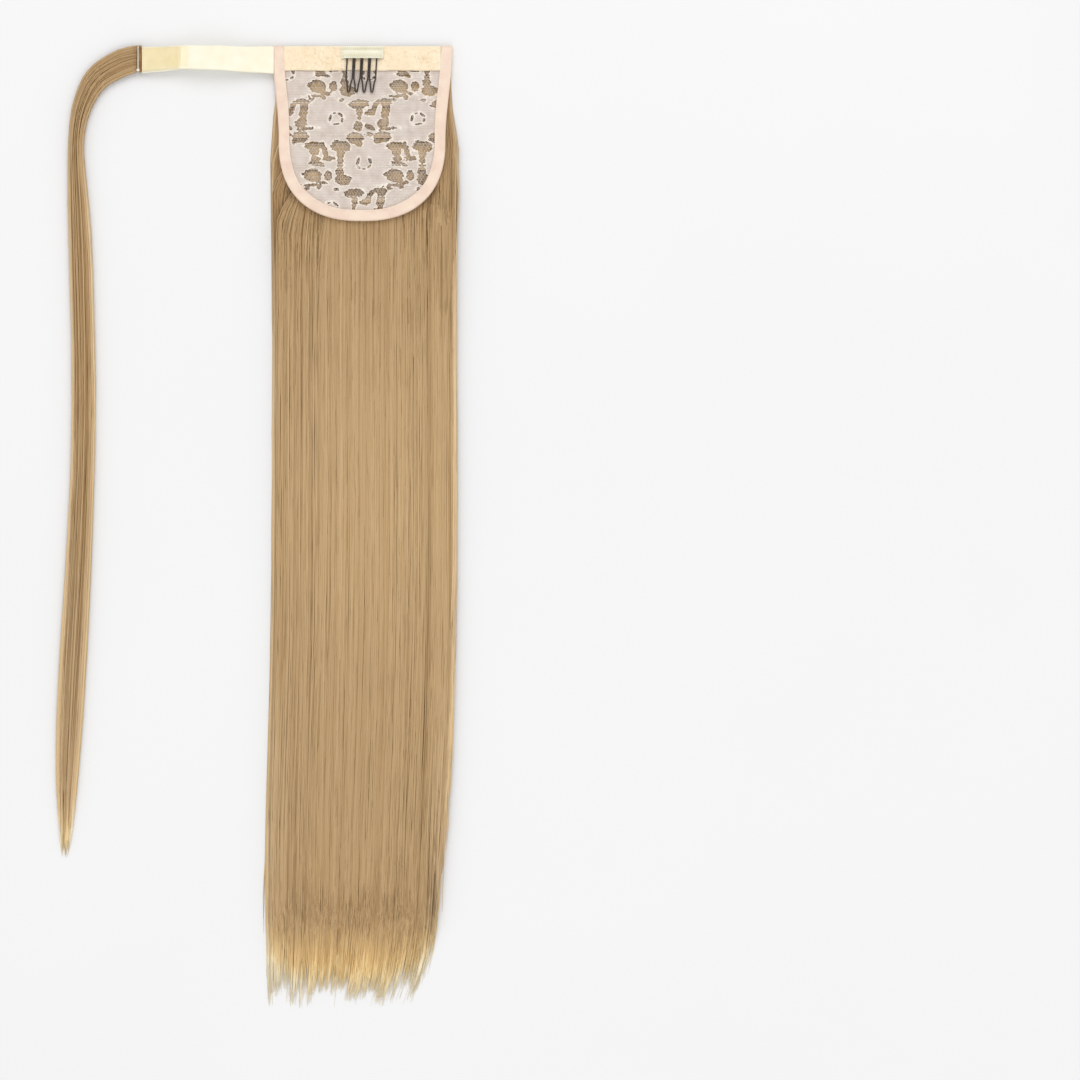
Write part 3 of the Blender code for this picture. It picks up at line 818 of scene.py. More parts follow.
class SolidForm:
    """Cross-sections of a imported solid, read along one axis of the model."""

    def __init__(self, node: str, along: int, across: int, columns: int) -> None:
        """Reads the sections.

        Args:
            node: The solid's node.
            along: Axis that the sections follow.
            across: Axis that they span.
            columns: Points across each section.
        """
        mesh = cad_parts[node].data
        places = np.empty(len(mesh.vertices) * 3)
        mesh.vertices.foreach_get("co", places)
        places = np.unique(np.round(places.reshape(-1, 3), 6), axis=0)
        stations = []
        for station in self.groups(places[:, along], 0.00002):
            ring = places[station]
            spans = self.groups(ring[:, across], 0.00005)
            if len(spans) != columns:
                continue
            heights = [(ring[span, 2].min(), ring[span, 2].max()) for span in spans]
            ends = ring[spans[0], across].mean(), ring[spans[-1], across].mean()
            stations.append((ring[:, along].mean(), *ends, heights))
        stations.sort(key=lambda row: row[0])
        self.at = np.array([row[0] for row in stations])
        self.near = np.array([row[1] for row in stations])
        self.far = np.array([row[2] for row in stations])
        heights = np.array([row[3] for row in stations])
        self.low = heights[..., 0]
        self.high = heights[..., 1]

    @staticmethod
    def groups(values: Array, gap: float) -> list[Array]:
        """Splits values into runs that lie closer than a gap."""
        order = np.argsort(values)
        breaks = np.flatnonzero(np.diff(values[order]) > gap) + 1
        return np.split(order, breaks)

    def side(self, at: Array) -> tuple[Array, Array]:
        """Where the solid's two sides lie."""
        return np.interp(at, self.at, self.near), np.interp(at, self.at, self.far)

    def heights(self, at: Array, place: Array) -> tuple[Array, Array]:
        """The solid's underside and top.

        Args:
            at: Places along it.
            place: Places across it.

        Returns:
            The lower and the upper height.
        """
        near, far = self.side(at)
        last = self.low.shape[1] - 1
        column = np.clip((place - near) / (far - near), 0, 1) * last
        row = np.interp(at, self.at, np.arange(len(self.at)))
        c0 = np.clip(np.floor(column).astype(int), 0, last - 1)
        r0 = np.clip(np.floor(row).astype(int), 0, len(self.at) - 2)
        c, r = column - c0, row - r0

        def read(table: Array) -> Array:
            """Reads one table between its entries."""
            before = table[r0, c0] * (1 - c) + table[r0, c0 + 1] * c
            after = table[r0 + 1, c0] * (1 - c) + table[r0 + 1, c0 + 1] * c
            return before * (1 - r) + after * r

        return read(self.low), read(self.high)


# Hair


@dataclass
class HairStack:
    """All rows of hair together: their solids and the surface that shows."""

    outline: BaseOutline
    rows: int = 5
    overhang: float = 6 * MM
    top_row_spread: float = 2.5 * MM
    forms: list[SolidForm] = field(init=False)
    left: list[float] = field(init=False)
    right: list[float] = field(init=False)

    def __post_init__(self) -> None:
        """Reads every row and how far to each side its hair lies."""
        self.forms = [SolidForm(f"hair_row_{row + 1}", 1, 0, 9) for row in range(self.rows)]
        self.right = [float(form.far[-1]) + self.overhang for form in self.forms]
        self.right[-1] -= self.overhang * 0.7
        self.right[0] = math.inf
        self.left = [-math.inf] * self.rows
        self.left[-1] = float(self.forms[-1].near[-1]) - self.top_row_spread

    def top(self, y: Array, x: Array) -> Array:
        """Height of the whole stack's upper face.

        Args:
            y: Places along the hair.
            x: Places across it.

        Returns:
            The height.
        """
        best = np.zeros(np.broadcast(y, x).shape)
        for form in self.forms:
            _, high = form.heights(y, x)
            there = y <= form.at[-1]
            best = np.where(there, np.maximum(best, high), best)
        return best

    @staticmethod
    def length_share(y: Array) -> Array:
        """How far down the product a place lies, 0 at its top edge to 1 at the tips."""
        low, high = CAD_BOX
        return (high[1] - y) / (high[1] - low[1])

    def under_base(self, x: Array, y: Array) -> Array:
        """How far a place lies under the base.

        Args:
            x: Places across.
            y: Places along the hair.

        Returns:
            0 outside the base's edge to 1 under its lace.
        """
        low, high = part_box("edge_binding")
        drop = high[1] - y + 14 * MM
        room = self.outline.half_width(drop) - np.abs(x - (low[0] + high[0]) / 2)
        return ease((room - self.outline.binding / 2) / (4 * MM))

    def brim(self, x: Array, y: Array) -> Array:
        """How near a place lies to the hair's sides, 1 on them."""
        near, far = self.forms[0].side(y)
        return np.exp(-np.clip(np.minimum(x - near, far - x), 0, None) / (8 * MM))

    def bare(self, row: int, x: Array) -> Array:
        """How far a row lies open beside the rows over it.

        Args:
            row: The row's number.
            x: Places across.

        Returns:
            0 where covered to 1 where open.
        """
        if row == self.rows - 1:
            return np.ones_like(x)
        past_right = ease((x - self.right[row + 1] + 10 * MM) / (6 * MM))
        past_left = ease((self.left[row + 1] + 10 * MM - x) / (6 * MM))
        return np.maximum(past_right, past_left)


@dataclass
class Strands:
    """Fibres sorted into strands by their places across."""

    number: Array
    middle: Array

    @classmethod
    def sort(cls, body: Array, pitch: float, draw: Generator) -> "Strands":
        """Sorts fibres.

        Args:
            body: Each fibre's place across.
            pitch: Distance between strands.
            draw: The random source.

        Returns:
            Each fibre's strand and the middle of that strand.
        """
        number = np.round((body - body.min()) / pitch + draw.normal(0, 0.3, len(body)))
        number = np.clip(number, 0, None).astype(int)
        middle = np.bincount(number, body) / np.maximum(np.bincount(number), 1)
        return cls(number, middle[number])

    def each(self, source: Callable, *limits: float) -> Array:
        """Gives each fibre a random value that its whole strand shares."""
        return source(*limits, self.number.max() + 1)[self.number]


@dataclass
class HairRow:
    """The hair of one weft: a grooved core with fibres laid over and round it."""

    stack: HairStack
    number: int
    fibres: int
    shares: tuple[float, ...]
    edge_share: float = 0.0
    fan_inset: float = 3 * MM
    fan: float = 20 * MM
    fan_short: float = 46 * MM
    fan_long: float = 72 * MM
    body_share: float = 0.35
    freeze_share: float = 0.80
    lock_pitch: float = 3.1 * MM
    point_pitch: float = 7.0 * MM
    width: float = 0.80 * MM
    bundle: float = 0.0
    # Share of fibres darkened as painted shade in the gaps below the binding.
    gap_shade_share: float = 0.10
    fan_shade: float = 0.0

    def outline_x(self, y: Array, body: Array) -> Array:
        """Where a fibre that has a place in the body lies further up or down.

        Args:
            y: Places along the hair.
            body: Each fibre's place across the body.

        Returns:
            Its place across at each y.
        """
        form = self.stack.forms[0]
        reach = form.at[-1] - form.at[0]
        near, far = form.side(form.at[-1] - reach * self.body_share)
        share = (body - near) / (far - near)
        frozen = form.at[-1] - reach * self.freeze_share
        left, right = form.side(np.maximum(y, frozen))
        _, low_right = form.side(y)
        right = right + (low_right - right) * 0.50
        return left + share * (right - left)

    def tip_y(self, body: Array) -> Array:
        """Where a fibre leaves the hair's outline at its lower end.

        Args:
            body: Each fibre's place across the body.

        Returns:
            The lowest y of each fibre.
        """
        form = self.stack.forms[self.number]
        steps = np.linspace(self.stack.forms[0].at[0], form.at[-1], 300)
        _, far = self.stack.forms[0].side(steps)
        far = far + 12 * MM * ease((steps[0] + 45 * MM - steps) / (45 * MM))
        x = self.outline_x(steps[:, None], body[None])
        return steps[np.argmax(x <= far[:, None] + 0.5 * MM, axis=0)]

    def body_places(self, draw: Generator) -> Array:
        """Chooses where the fibres lie across the body.

        Args:
            draw: The random source.

        Returns:
            A place across the body for each fibre.
        """
        form = self.stack.forms[self.number]
        near, far = form.side(form.at[-1] - (form.at[-1] - form.at[0]) * self.body_share)
        left = max(float(near), self.stack.left[self.number])
        right = min(float(far), self.stack.right[self.number])
        even = np.linspace(left, right, self.fibres) + draw.normal(0, 0.4 * MM, self.fibres)
        if self.number == self.stack.rows - 1:
            soft = draw.normal(0, 2.5 * MM, self.fibres)
            near_side = (even < left + 9 * MM) | (even > right - 9 * MM)
            return np.where(near_side, even + soft, even)
        over_left = self.stack.left[self.number + 1]
        over_right = self.stack.right[self.number + 1]
        at_right = draw.uniform(min(over_right - 9 * MM, right - 6 * MM), right, self.fibres)
        if over_left > left:
            at_left = draw.uniform(left, over_left + 9 * MM, self.fibres)
            split = (over_left - left) / (over_left - left + max(right - over_right, 6 * MM))
        else:
            at_left = left + np.abs(draw.normal(0, 4 * MM, self.fibres))
            split = 0.3
        picked = np.where(draw.random(self.fibres) < split, at_left, at_right)
        shown = draw.random(self.fibres) < self.edge_share
        return np.clip(np.where(shown, picked, even), left, right)

    def route(self, body: Array, y: Array) -> tuple[Array, Array]:
        """How fibres leave the weft and swing out to their places in the body.

        Args:
            body: Each fibre's place across the body.
            y: Places along each fibre, (fibre, station).

        Returns:
            Their places across and how far each has settled, 0 to 1.
        """
        form = self.stack.forms[self.number]
        root_near, root_far = form.near[-1] + 0.6 * MM, form.far[-1] - 0.6 * MM
        left = float(body.min())
        fan_from, fan_to = root_near + self.fan_inset, root_near + self.fan
        if self.number == self.stack.rows - 1:
            fan_from, fan_to = root_near, root_near + 3 * self.stack.top_row_spread
        slope = (fan_to - fan_from) / (fan_to - left)
        root_x = np.where(body < fan_to, fan_from + (body - left) * slope, body)
        root_x = np.minimum(root_x, root_far)
        across = np.clip((body - left) / (fan_to - left), 0, 1)
        length = self.fan_short + (self.fan_long - self.fan_short) * across
        settled = ease((form.at[-1] - y) / length[:, None])
        x = root_x[:, None] + (self.outline_x(y, body[:, None]) - root_x[:, None]) * settled
        return x, settled

    def shortfall(self, body: Array, depth: Array, points: Strands, draw: Generator) -> Array:
        """How far each fibre ends above the hair's lower outline.

        Args:
            body: Each fibre's place across the body.
            depth: How near the top each lies.
            points: The pointed strands that the ends form.
            draw: The random source.

        Returns:
            The distances.
        """
        count = self.fibres
        open_body = self.stack.bare(self.number, body) > 0.5
        seen = (depth > 0.55) & (open_body | (draw.random(count) < 0.35))
        spread = draw.random(count)
        short = np.where(seen, 40 * MM * spread**1.15, (18 + 58 * spread) * MM)
        off = np.abs(body - points.middle) / (self.point_pitch / 2)
        short += points.each(draw.uniform, -9 * MM, 8 * MM) + 9 * MM * off * draw.random(count)
        return short + 48 * MM * ease((body - 0.130) / (22 * MM)) * draw.random(count)

    def lay(
        self, body: Array, y: Array, points: Strands, draw: Generator
    ) -> tuple[Array, Array, Strands]:
        """Lays the fibres out side by side, gathered into strands.

        Args:
            body: Each fibre's place across the body.
            y: Places along each fibre.
            points: The pointed strands that the ends form.
            draw: The random source.

        Returns:
            Places across, the strands' middles, and the strands.
        """
        locks = Strands.sort(body, self.lock_pitch, draw)
        x, settled = self.route(body, y)
        middle, _ = self.route(locks.middle, y)
        point, _ = self.route(points.middle, y)
        column = (slice(None), None)
        phase = locks.each(draw.uniform, 0.0, 2 * np.pi)[column]
        gather = (0.02 + 0.05 * np.sin(y * 21.0 + phase)) * settled
        below_root = self.stack.forms[self.number].at[-1] - y
        gather += self.bundle * np.exp(-(((below_root - 48 * MM) / (24 * MM)) ** 2))
        x = x + (middle - x) * gather
        low = CAD_BOX[0][1]
        close = points.each(draw.uniform, 0.1, 0.5)[column] * ease((low + 80 * MM - y) / (80 * MM))
        x = x + (point - x) * close
        swing = locks.each(draw.uniform, 0.1 * MM, 0.6 * MM)[column]
        x += swing * np.sin(y * 17.0 + phase * 3) * settled
        wander = draw.random(self.fibres) < 0.05
        cross = draw.normal(0, 0.5 * MM, self.fibres) + wander * draw.normal(0, 5 * MM, self.fibres)
        x += (cross[column] * (self.stack.length_share(y) - 0.4)) * settled
        for speeds, sway in (((22.0, 48.0), 0.42 * MM), ((90.0, 160.0), 0.12 * MM)):
            speed = draw.uniform(*speeds, self.fibres)[column]
            start = draw.uniform(0, 2 * np.pi, self.fibres)[column]
            x += draw.normal(0, sway, self.fibres)[column] * np.sin(y * speed + start) * settled
        near, far = self.stack.forms[0].side(y)
        upper = self.stack.length_share(y) < 0.88
        x = np.where(upper, np.clip(x, near - 0.5 * MM, far + 0.4 * MM), x)
        return x, middle, locks

    def build_fibres(self, builder: MeshBuilder, draw: Generator) -> None:
        """Lays the row's fibres.

        Args:
            builder: What the fibres are added to.
            draw: The random source.
        """
        form = self.stack.forms[self.number]
        count = self.fibres
        body = self.body_places(draw)
        points = Strands.sort(body, self.point_pitch, draw)
        depth = np.clip(1 - np.abs(draw.normal(0, 0.42, count)), 0.04, 1.0)
        if self.number == 0:
            depth = np.where(draw.random(count) < 0.40, draw.random(count) * 0.25, depth)
        tip_y = self.tip_y(body) + self.shortfall(body, depth, points, draw)
        root_y = form.at[-1]
        share = np.array(self.shares)[None]
        y = root_y + (tip_y - root_y)[:, None] * share
        x, middle, locks = self.lay(body, y, points, draw)

        low, high = form.heights(y, x)
        own = low + (high - low) * depth[:, None]
        surface = self.stack.top(y, x) - (1 - depth[:, None]) * 1.3 * MM
        below = ease((root_y - y) / (60 * MM))
        own = own + (surface - own) * self.stack.bare(self.number, x) * below
        start = ease((root_y - y) / (22 * MM))
        z = high - 0.5 * MM + (own - high + 0.5 * MM) * start
        across_lock = np.clip(np.abs(x - middle) / (self.lock_pitch * 0.6), 0, 1.3)
        relief = locks.each(draw.normal, 0.0, 0.08 * MM)[:, None] - 0.12 * MM * across_lock**2
        z += np.where(depth[:, None] > 0.3, relief, 0) * start
        length = self.stack.length_share(y)
        z = np.maximum(z * (1 - 0.8 * ease((length - 0.90) / 0.09)), 0.15 * MM)

        widths = self.width * draw.uniform(0.6, 1.25, count)
        taper = np.interp(share[0], [0, 0.03, 0.90, 0.96, 1], [0.7, 1, 1, 0.85, 0.22])
        tone, glowing_rim = self.tones(x, y, depth, locks, draw)
        brim = self.stack.brim(x, y)
        # Painted light: the hair's sides are lighter in its lower part, as light shining through the
        # thin edge hair and against the shade in the crevices beside them.
        tone = np.clip(tone + 0.36 * brim * ease((length - 0.60) / 0.22), 0.05, 0.95)
        # Painted light: the lightened rim fibres and the hair's sides turn golden a little sooner.
        length = length + draw.normal(0, 0.008, count)[:, None] + 0.012 * glowing_rim[:, None]
        length += 0.02 * brim
        paths = np.stack([x, y, z], -1)
        builder.add_fibres(paths, widths[:, None] * taper[None], tone, length, 0.25)

    def tones(
        self, x: Array, y: Array, depth: Array, locks: Strands, draw: Generator
    ) -> tuple[Array, Array]:
        """Chooses the fibres' tones.

        Args:
            x: Places across.
            y: Places along.
            depth: How near the top each fibre lies.
            locks: The strands.
            draw: The random source.

        Returns:
            Tones at each (fibre, station), and which fibres at the rim are painted lighter, as light
            shining through the thin edge.
        """
        count = self.fibres
        own = locks.each(draw.normal, 0.0, 0.020) + draw.normal(0, 0.032, count)
        # Painted shade: fibres lying deeper in the stack are darker.
        own -= 0.07 * (1 - depth)
        # Painted highlights: about one fibre in eight is lighter.
        own += 0.10 * (draw.random(count) < 0.12)
        half = len(self.shares) // 2
        near, far = self.stack.forms[0].side(y[:, half])
        # Painted light: most fibres at the hair's edges are lighter, as light shining through the thin
        # edge.
        rim = np.minimum(x[:, half] - near, (far - x[:, half]) * 0.7)
        glowing_rim = (rim < 1.8 * MM) & (draw.random(count) < 0.7)
        own = np.where(glowing_rim, draw.uniform(0.16, 0.42, count), own)
        binding = self.stack.outline.length
        drop = CAD_BOX[1][1] - y
        under = np.exp(-(np.clip(drop - binding, 0, None) / (34 * MM)))
        # Painted shade: a share of the fibres just below the binding is darker, as shade in the gaps
        # between strands.
        gap = (draw.random(count) < self.gap_shade_share)[:, None] * 0.30 * under
        shade = 0.20 * self.fan_shade * np.exp(-(((y - 0.240) / (26 * MM)) ** 2))
        shade = shade * ease((0.066 - x) / (12 * MM))
        lit = 0.48 * self.stack.under_base(x, y)
        tone = np.clip(0.47 + own[:, None] - gap - shade, 0.05, 0.9)
        return np.clip(tone + lit, 0.05, 0.95), glowing_rim

    def build_core(self, builder: MeshBuilder, draw: Generator) -> None:
        """Makes the grooved sheet under the fibres.

        Args:
            builder: What the core is added to.
            draw: The random source.
        """
        form = self.stack.forms[self.number]
        columns, rows = 110, 24
        end = form.at[0] + 95 * MM
        y = np.linspace(form.at[-1] - 1 * MM, end, rows)[:, None] * np.ones((1, columns))
        y[-1] += draw.uniform(-12, 12, columns) * MM
        near, far = form.side(y)
        if self.number == self.stack.rows - 1:
            near = np.maximum(near, self.stack.left[self.number] + 2 * MM)
            far = np.minimum(far, self.stack.right[self.number] - 4 * MM)
        inset = 1.2 * MM
        share = np.linspace(0, 1, columns)[None]
        x = near + inset + (far - near - 2 * inset) * share
        low, high = form.heights(y, x)
        groove = draw.uniform(0.0, 0.3, columns)[None] * MM
        sunk = 1.3 * MM * ease((end + 70 * MM - y) / (70 * MM))
        side = 0.7 * MM * (1 - ease(np.minimum(share, 1 - share) / 0.05))
        top = np.maximum(high - 0.6 * MM - groove - sunk - side, low + 0.25 * MM)
        places = np.empty((rows, columns, 2))
        lit = 0.44 * self.stack.under_base(x, y) + 0.30 * self.stack.brim(x, y)
        places[..., 0] = draw.uniform(0.40, 0.50, columns)[None] + lit
        places[..., 1] = self.stack.length_share(y)
        bottom = np.stack([x, y, low + 0.12 * MM], -1)
        builder.add_slab(np.stack([x, y, top], -1), bottom, places)

    def build(self, finish: Material) -> None:
        """Makes the row.

        Args:
            finish: The hair's material.
        """
        draw = np.random.default_rng(40 + self.number)
        builder = MeshBuilder()
        self.build_core(builder, draw)
        self.build_fibres(builder, draw)
        name = f"hair_{self.number + 1}"
        builder.place(name, finish, "hair", (f"hair_row_{self.number + 1}",))


# Wrap strand's route and section: side of its swing, drop of its length, wide and thick of
# its full section, lift of its height at the strap
STRAND_SECTIONS = (
    (0.000, 0.000, 1.08, 0.40, 1.00),
    (0.230, 0.006, 1.10, 0.55, 0.85),
    (0.560, 0.025, 0.98, 0.80, 0.40),
    (0.760, 0.060, 0.76, 0.95, 0.08),
    (0.835, 0.100, 0.62, 1.00, 0.00),
    (0.830, 0.145, 0.72, 0.95, 0.00),
    (0.785, 0.215, 0.94, 0.90, 0.00),
    (0.750, 0.310, 0.94, 0.90, 0.00),
    (0.725, 0.430, 0.94, 0.90, 0.00),
    (0.765, 0.560, 0.94, 0.88, 0.00),
    (0.835, 0.680, 1.04, 0.82, 0.00),
    (0.920, 0.810, 1.04, 0.72, 0.00),
    (0.965, 0.895, 0.86, 0.60, 0.00),
    (0.980, 0.940, 0.66, 0.45, 0.00),
    (0.990, 0.975, 0.44, 0.30, 0.00),
    (1.000, 1.000, 0.20, 0.14, 0.00),
)


@dataclass
class WrapStrand:
    """The lock that swings out from the strap's end and runs down beside the hair."""

    swing: float = 58 * MM
    drop: float = 640 * MM
    wide: float = 19.5 * MM
    thick: float = 8 * MM
    fibres: int = 680
    locks: int = 11

    def frames(self, at: Array) -> tuple[Array, Array, Array, Array]:
        """The strand's middle line and section.

        Args:
            at: Places along the table of sections.

        Returns:
            Middle points, directions across, half widths and half heights.
        """
        low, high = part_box("strand_weft")
        root = np.array((low[0] - 0.3 * MM, (low[1] + high[1]) / 2, (low[2] + high[2]) / 2))
        side, drop, wide, thick, lift = np.moveaxis(smooth_rows(STRAND_SECTIONS, at), -1, 0)
        lying = self.thick * thick / 2
        middle = np.stack(
            [
                root[0] - self.swing * side,
                root[1] - self.drop * drop,
                lying + (root[2] - lying) * lift,
            ],
            -1,
        )
        along = np.gradient(middle[..., :2], axis=-2)
        along /= np.maximum(np.linalg.norm(along, axis=-1, keepdims=True), 1e-9)
        blend = ease(np.asarray(at) / 0.6)[..., None]
        along = np.array((-1.0, 0.0)) * (1 - blend) + along * blend
        across = np.stack([along[..., 1], -along[..., 0], np.zeros_like(side)], -1)
        return middle, across, self.wide * wide / 2, self.thick * thick / 2

    def build(self, finish: Material) -> None:
        """Makes the strand.

        Args:
            finish: The hair's material.
        """
        draw = np.random.default_rng(71)
        last = len(STRAND_SECTIONS) - 1
        stations = np.concatenate(
            [np.arange(0, 5, 0.5), np.arange(5, 12, 1.0), np.array([12, 12.7, 13.3, 13.9, 14.4, 15])]
        )
        share = stations / last
        lock = draw.integers(0, self.locks, self.fibres)
        lock_side = (np.arange(self.locks) + 0.5) / self.locks * 2 - 1
        lock_phase = draw.uniform(0, 2 * np.pi, self.locks)
        lock_tone = draw.normal(0, 0.05, self.locks)
        lock_end = draw.uniform(0, 0.05, self.locks)
        side = np.clip(lock_side[lock] + draw.normal(0, 0.085, self.fibres), -0.97, 0.97)
        room = np.sqrt(np.clip(1 - side**2, 0.05, 1))
        up = draw.random(self.fibres) < 0.68
        depth = np.where(up, draw.uniform(0.35, 1.0, self.fibres), draw.uniform(-1, 0.3, self.fibres))
        last_share = 1 - lock_end[lock] - np.abs(draw.normal(0, 0.07, self.fibres))
        last_share -= 0.05 * np.abs(side) * draw.random(self.fibres)
        at = share[None] * last_share[:, None] * last
        middle, across, half, tall = self.frames(at)
        sway = 0.10 * np.sin(share[None] * 9.0 + lock_phase[lock][:, None])
        across_share = side[:, None] + sway * room[:, None]
        across_share = across_share + draw.normal(0, 0.03, self.fibres)[:, None] * share[None]
        body = middle + across * (across_share * half)[..., None]
        off = np.clip(np.abs(side - lock_side[lock]) * self.locks, 0, 1.5)
        lock_crown = 1.05 - 0.16 * off[:, None] ** 2
        body[..., 2] += depth[:, None] * room[:, None] * tall * lock_crown - 0.2 * MM
        body[..., 2] = np.maximum(body[..., 2], 0.15 * MM)
        widths = 0.78 * MM * draw.uniform(0.65, 1.2, self.fibres)
        taper = np.interp(share, [0, 0.02, 0.90, 0.96, 1], [0.8, 1, 1, 0.75, 0.1])
        own = lock_tone[lock] + draw.normal(0, 0.06, self.fibres)
        # Painted shade and highlight: fibres at the edges of each lock are darker, those at its middle
        # lighter.
        own += 0.03 - 0.19 * ease((off - 0.55) / 0.6)
        # Painted light: the strand's edges are lighter in its lower part, as light shining through the
        # thin edge; the lower stretch turns golden, partly the hair's own colour and partly painted
        # light through the thin end.
        golden = 0.32 * ease((np.abs(side) - 0.55) / 0.35)[:, None] * ease((share - 0.20) / 0.4)
        golden = golden + 0.19 * ease((share - 0.62) / 0.28)
        tone = np.clip(0.47 + own[:, None] + golden, 0.05, 0.9)
        length = share[None] * last_share[:, None] + draw.normal(0.055, 0.02, self.fibres)[:, None]
        length = np.minimum(length + 0.015 * ease((share - 0.62) / 0.3), 0.975)
        builder = MeshBuilder()
        builder.add_fibres(body, widths[:, None] * taper[None], tone, length)
        self.build_core(builder, draw)
        builder.place("wrap_lock", finish, "hair", ("wrap_strand",))

    def build_core(self, builder: MeshBuilder, draw: Generator) -> None:
        """Makes the grooved body inside the strand.

        Args:
            builder: What the core is added to.
            draw: The random source.
        """
        columns = 34
        at = np.linspace(0, len(STRAND_SECTIONS) - 3.6, 60)
        middle, across, half, tall = self.frames(at)
        side = np.linspace(-0.93, 0.93, columns)
        room = np.sqrt(1 - side**2)
        line = middle[:, None] + across[:, None] * (side[None] * half[:, None])[..., None]
        groove = draw.uniform(0.55, 0.80, columns)
        top, bottom = line.copy(), line.copy()
        top[..., 2] += room * tall[:, None] * groove
        bottom[..., 2] -= room * tall[:, None] * 0.75
        bottom[..., 2] = np.maximum(bottom[..., 2], 0.1 * MM)
        places = np.empty((len(at), columns, 2))
        # Painted shade: the core is a little darker than the fibres over it, so the gaps between them
        # read as shade.
        places[..., 0] = draw.uniform(0.32, 0.46, columns)[None]
        places[..., 1] = np.linspace(0, 0.86, len(at))[:, None]
        builder.add_slab(top[:, ::-1], bottom[:, ::-1], places)


# Lace

# One repeat of the lace, in millimetres on the base's plane: the middle, half width, half
# height and turn in degrees of each opening
LACE_OPENINGS = (
    (-2.6, -46.9, 7.0, 3.3, 4),
    (-2.2, -52.6, 2.1, 4.0, 0),
    (-2.6, -58.2, 1.0, 1.4, 0),
    (-3.2, -64.9, 3.2, 3.7, 0),
    (-5.6, -74.3, 6.2, 4.2, -4),
    (-2.4, -78.6, 2.2, 2.4, 20),
    (16.6, -45.8, 6.2, 2.9, 8),
    (18.4, -51.2, 3.2, 7.2, -4),
    (10.0, -49.6, 2.1, 4.2, -22),
    (7.0, -53.6, 3.2, 2.3, 8),
    (2.9, -54.2, 0.9, 0.9, 0),
    (16.5, -62.4, 4.2, 3.2, 0),
    (19.4, -60.8, 1.2, 2.6, 0),
    (5.8, -65.4, 3.2, 1.6, -28),
    (16.2, -73.4, 6.2, 4.1, 0),
    (11.8, -76.6, 2.0, 2.0, 0),
    (20.2, -66.8, 4.6, 0.8, 6),
    (6.2, -71.2, 2.6, 1.0, -10),
    (-38.8, -80.6, 6.2, 2.9, 0),
    (-37.9, -84.8, 3.5, 3.4, 0),
    (-31.8, -79.6, 1.6, 2.0, 10),
    (-29.4, -85.4, 1.8, 4.4, 14),
    (-26.7, -90.8, 3.9, 1.6, 4),
    (-37.2, -91.2, 3.2, 2.3, 0),
    (-37.0, -94.6, 3.8, 1.7, 0),
    (-32.6, -95.6, 2.1, 1.1, -25),
    (-39.4, -104.4, 6.4, 4.9, -6),
    (-44.2, -103.2, 2.8, 1.6, 8),
    (-35.2, -108.4, 2.0, 2.2, 20),
    (-26.9, -104.6, 2.8, 3.6, 0),
    (-17.6, -80.8, 6.8, 3.6, 6),
    (-20.6, -78.4, 1.6, 2.2, 30),
    (-12.2, -81.4, 2.4, 3.2, 0),
    (-17.2, -86.6, 2.7, 3.6, 0),
    (-17.4, -92.2, 2.0, 2.3, 0),
    (-17.4, -96.6, 1.7, 1.1, 0),
    (-17.8, -101.4, 2.9, 3.0, 0),
    (-15.4, -108.0, 5.6, 4.1, -6),
    (-10.8, -107.0, 2.0, 1.4, 0),
    (-31.0, -110.2, 1.8, 0.9, 0),
    (-20.2, -115.6, 1.4, 0.9, 0),
    (-43.8, -115.0, 1.5, 0.9, 0),
    (-39.5, -112.2, 4.5, 0.7, 3),
    (-34.2, -113.6, 1.5, 1.5, 0),
)
LACE_LEAVES = ((13.4, -51.6, 2.2, 5.4, -15), (9.8, -113.4, 2.0, 1.6, 0))
EYE_OPENINGS = (
    (-25.6, -58.2, 1.3, 3.2, -12),
    (-17.4, -55.4, 3.0, 1.2, -38),
    (-16.0, -59.8, 1.2, 1.9, -8),
    (-20.6, -63.0, 3.4, 0.9, 4),
    (-22.4, -54.4, 1.8, 0.8, 20),
    (-3.2, -93.2, 1.4, 3.6, -14),
    (-2.4, -98.0, 1.9, 1.0, -35),
    (6.4, -92.6, 1.5, 2.6, 16),
    (5.6, -97.4, 2.2, 1.1, 38),
    (1.6, -99.2, 2.0, 0.8, 0),
)


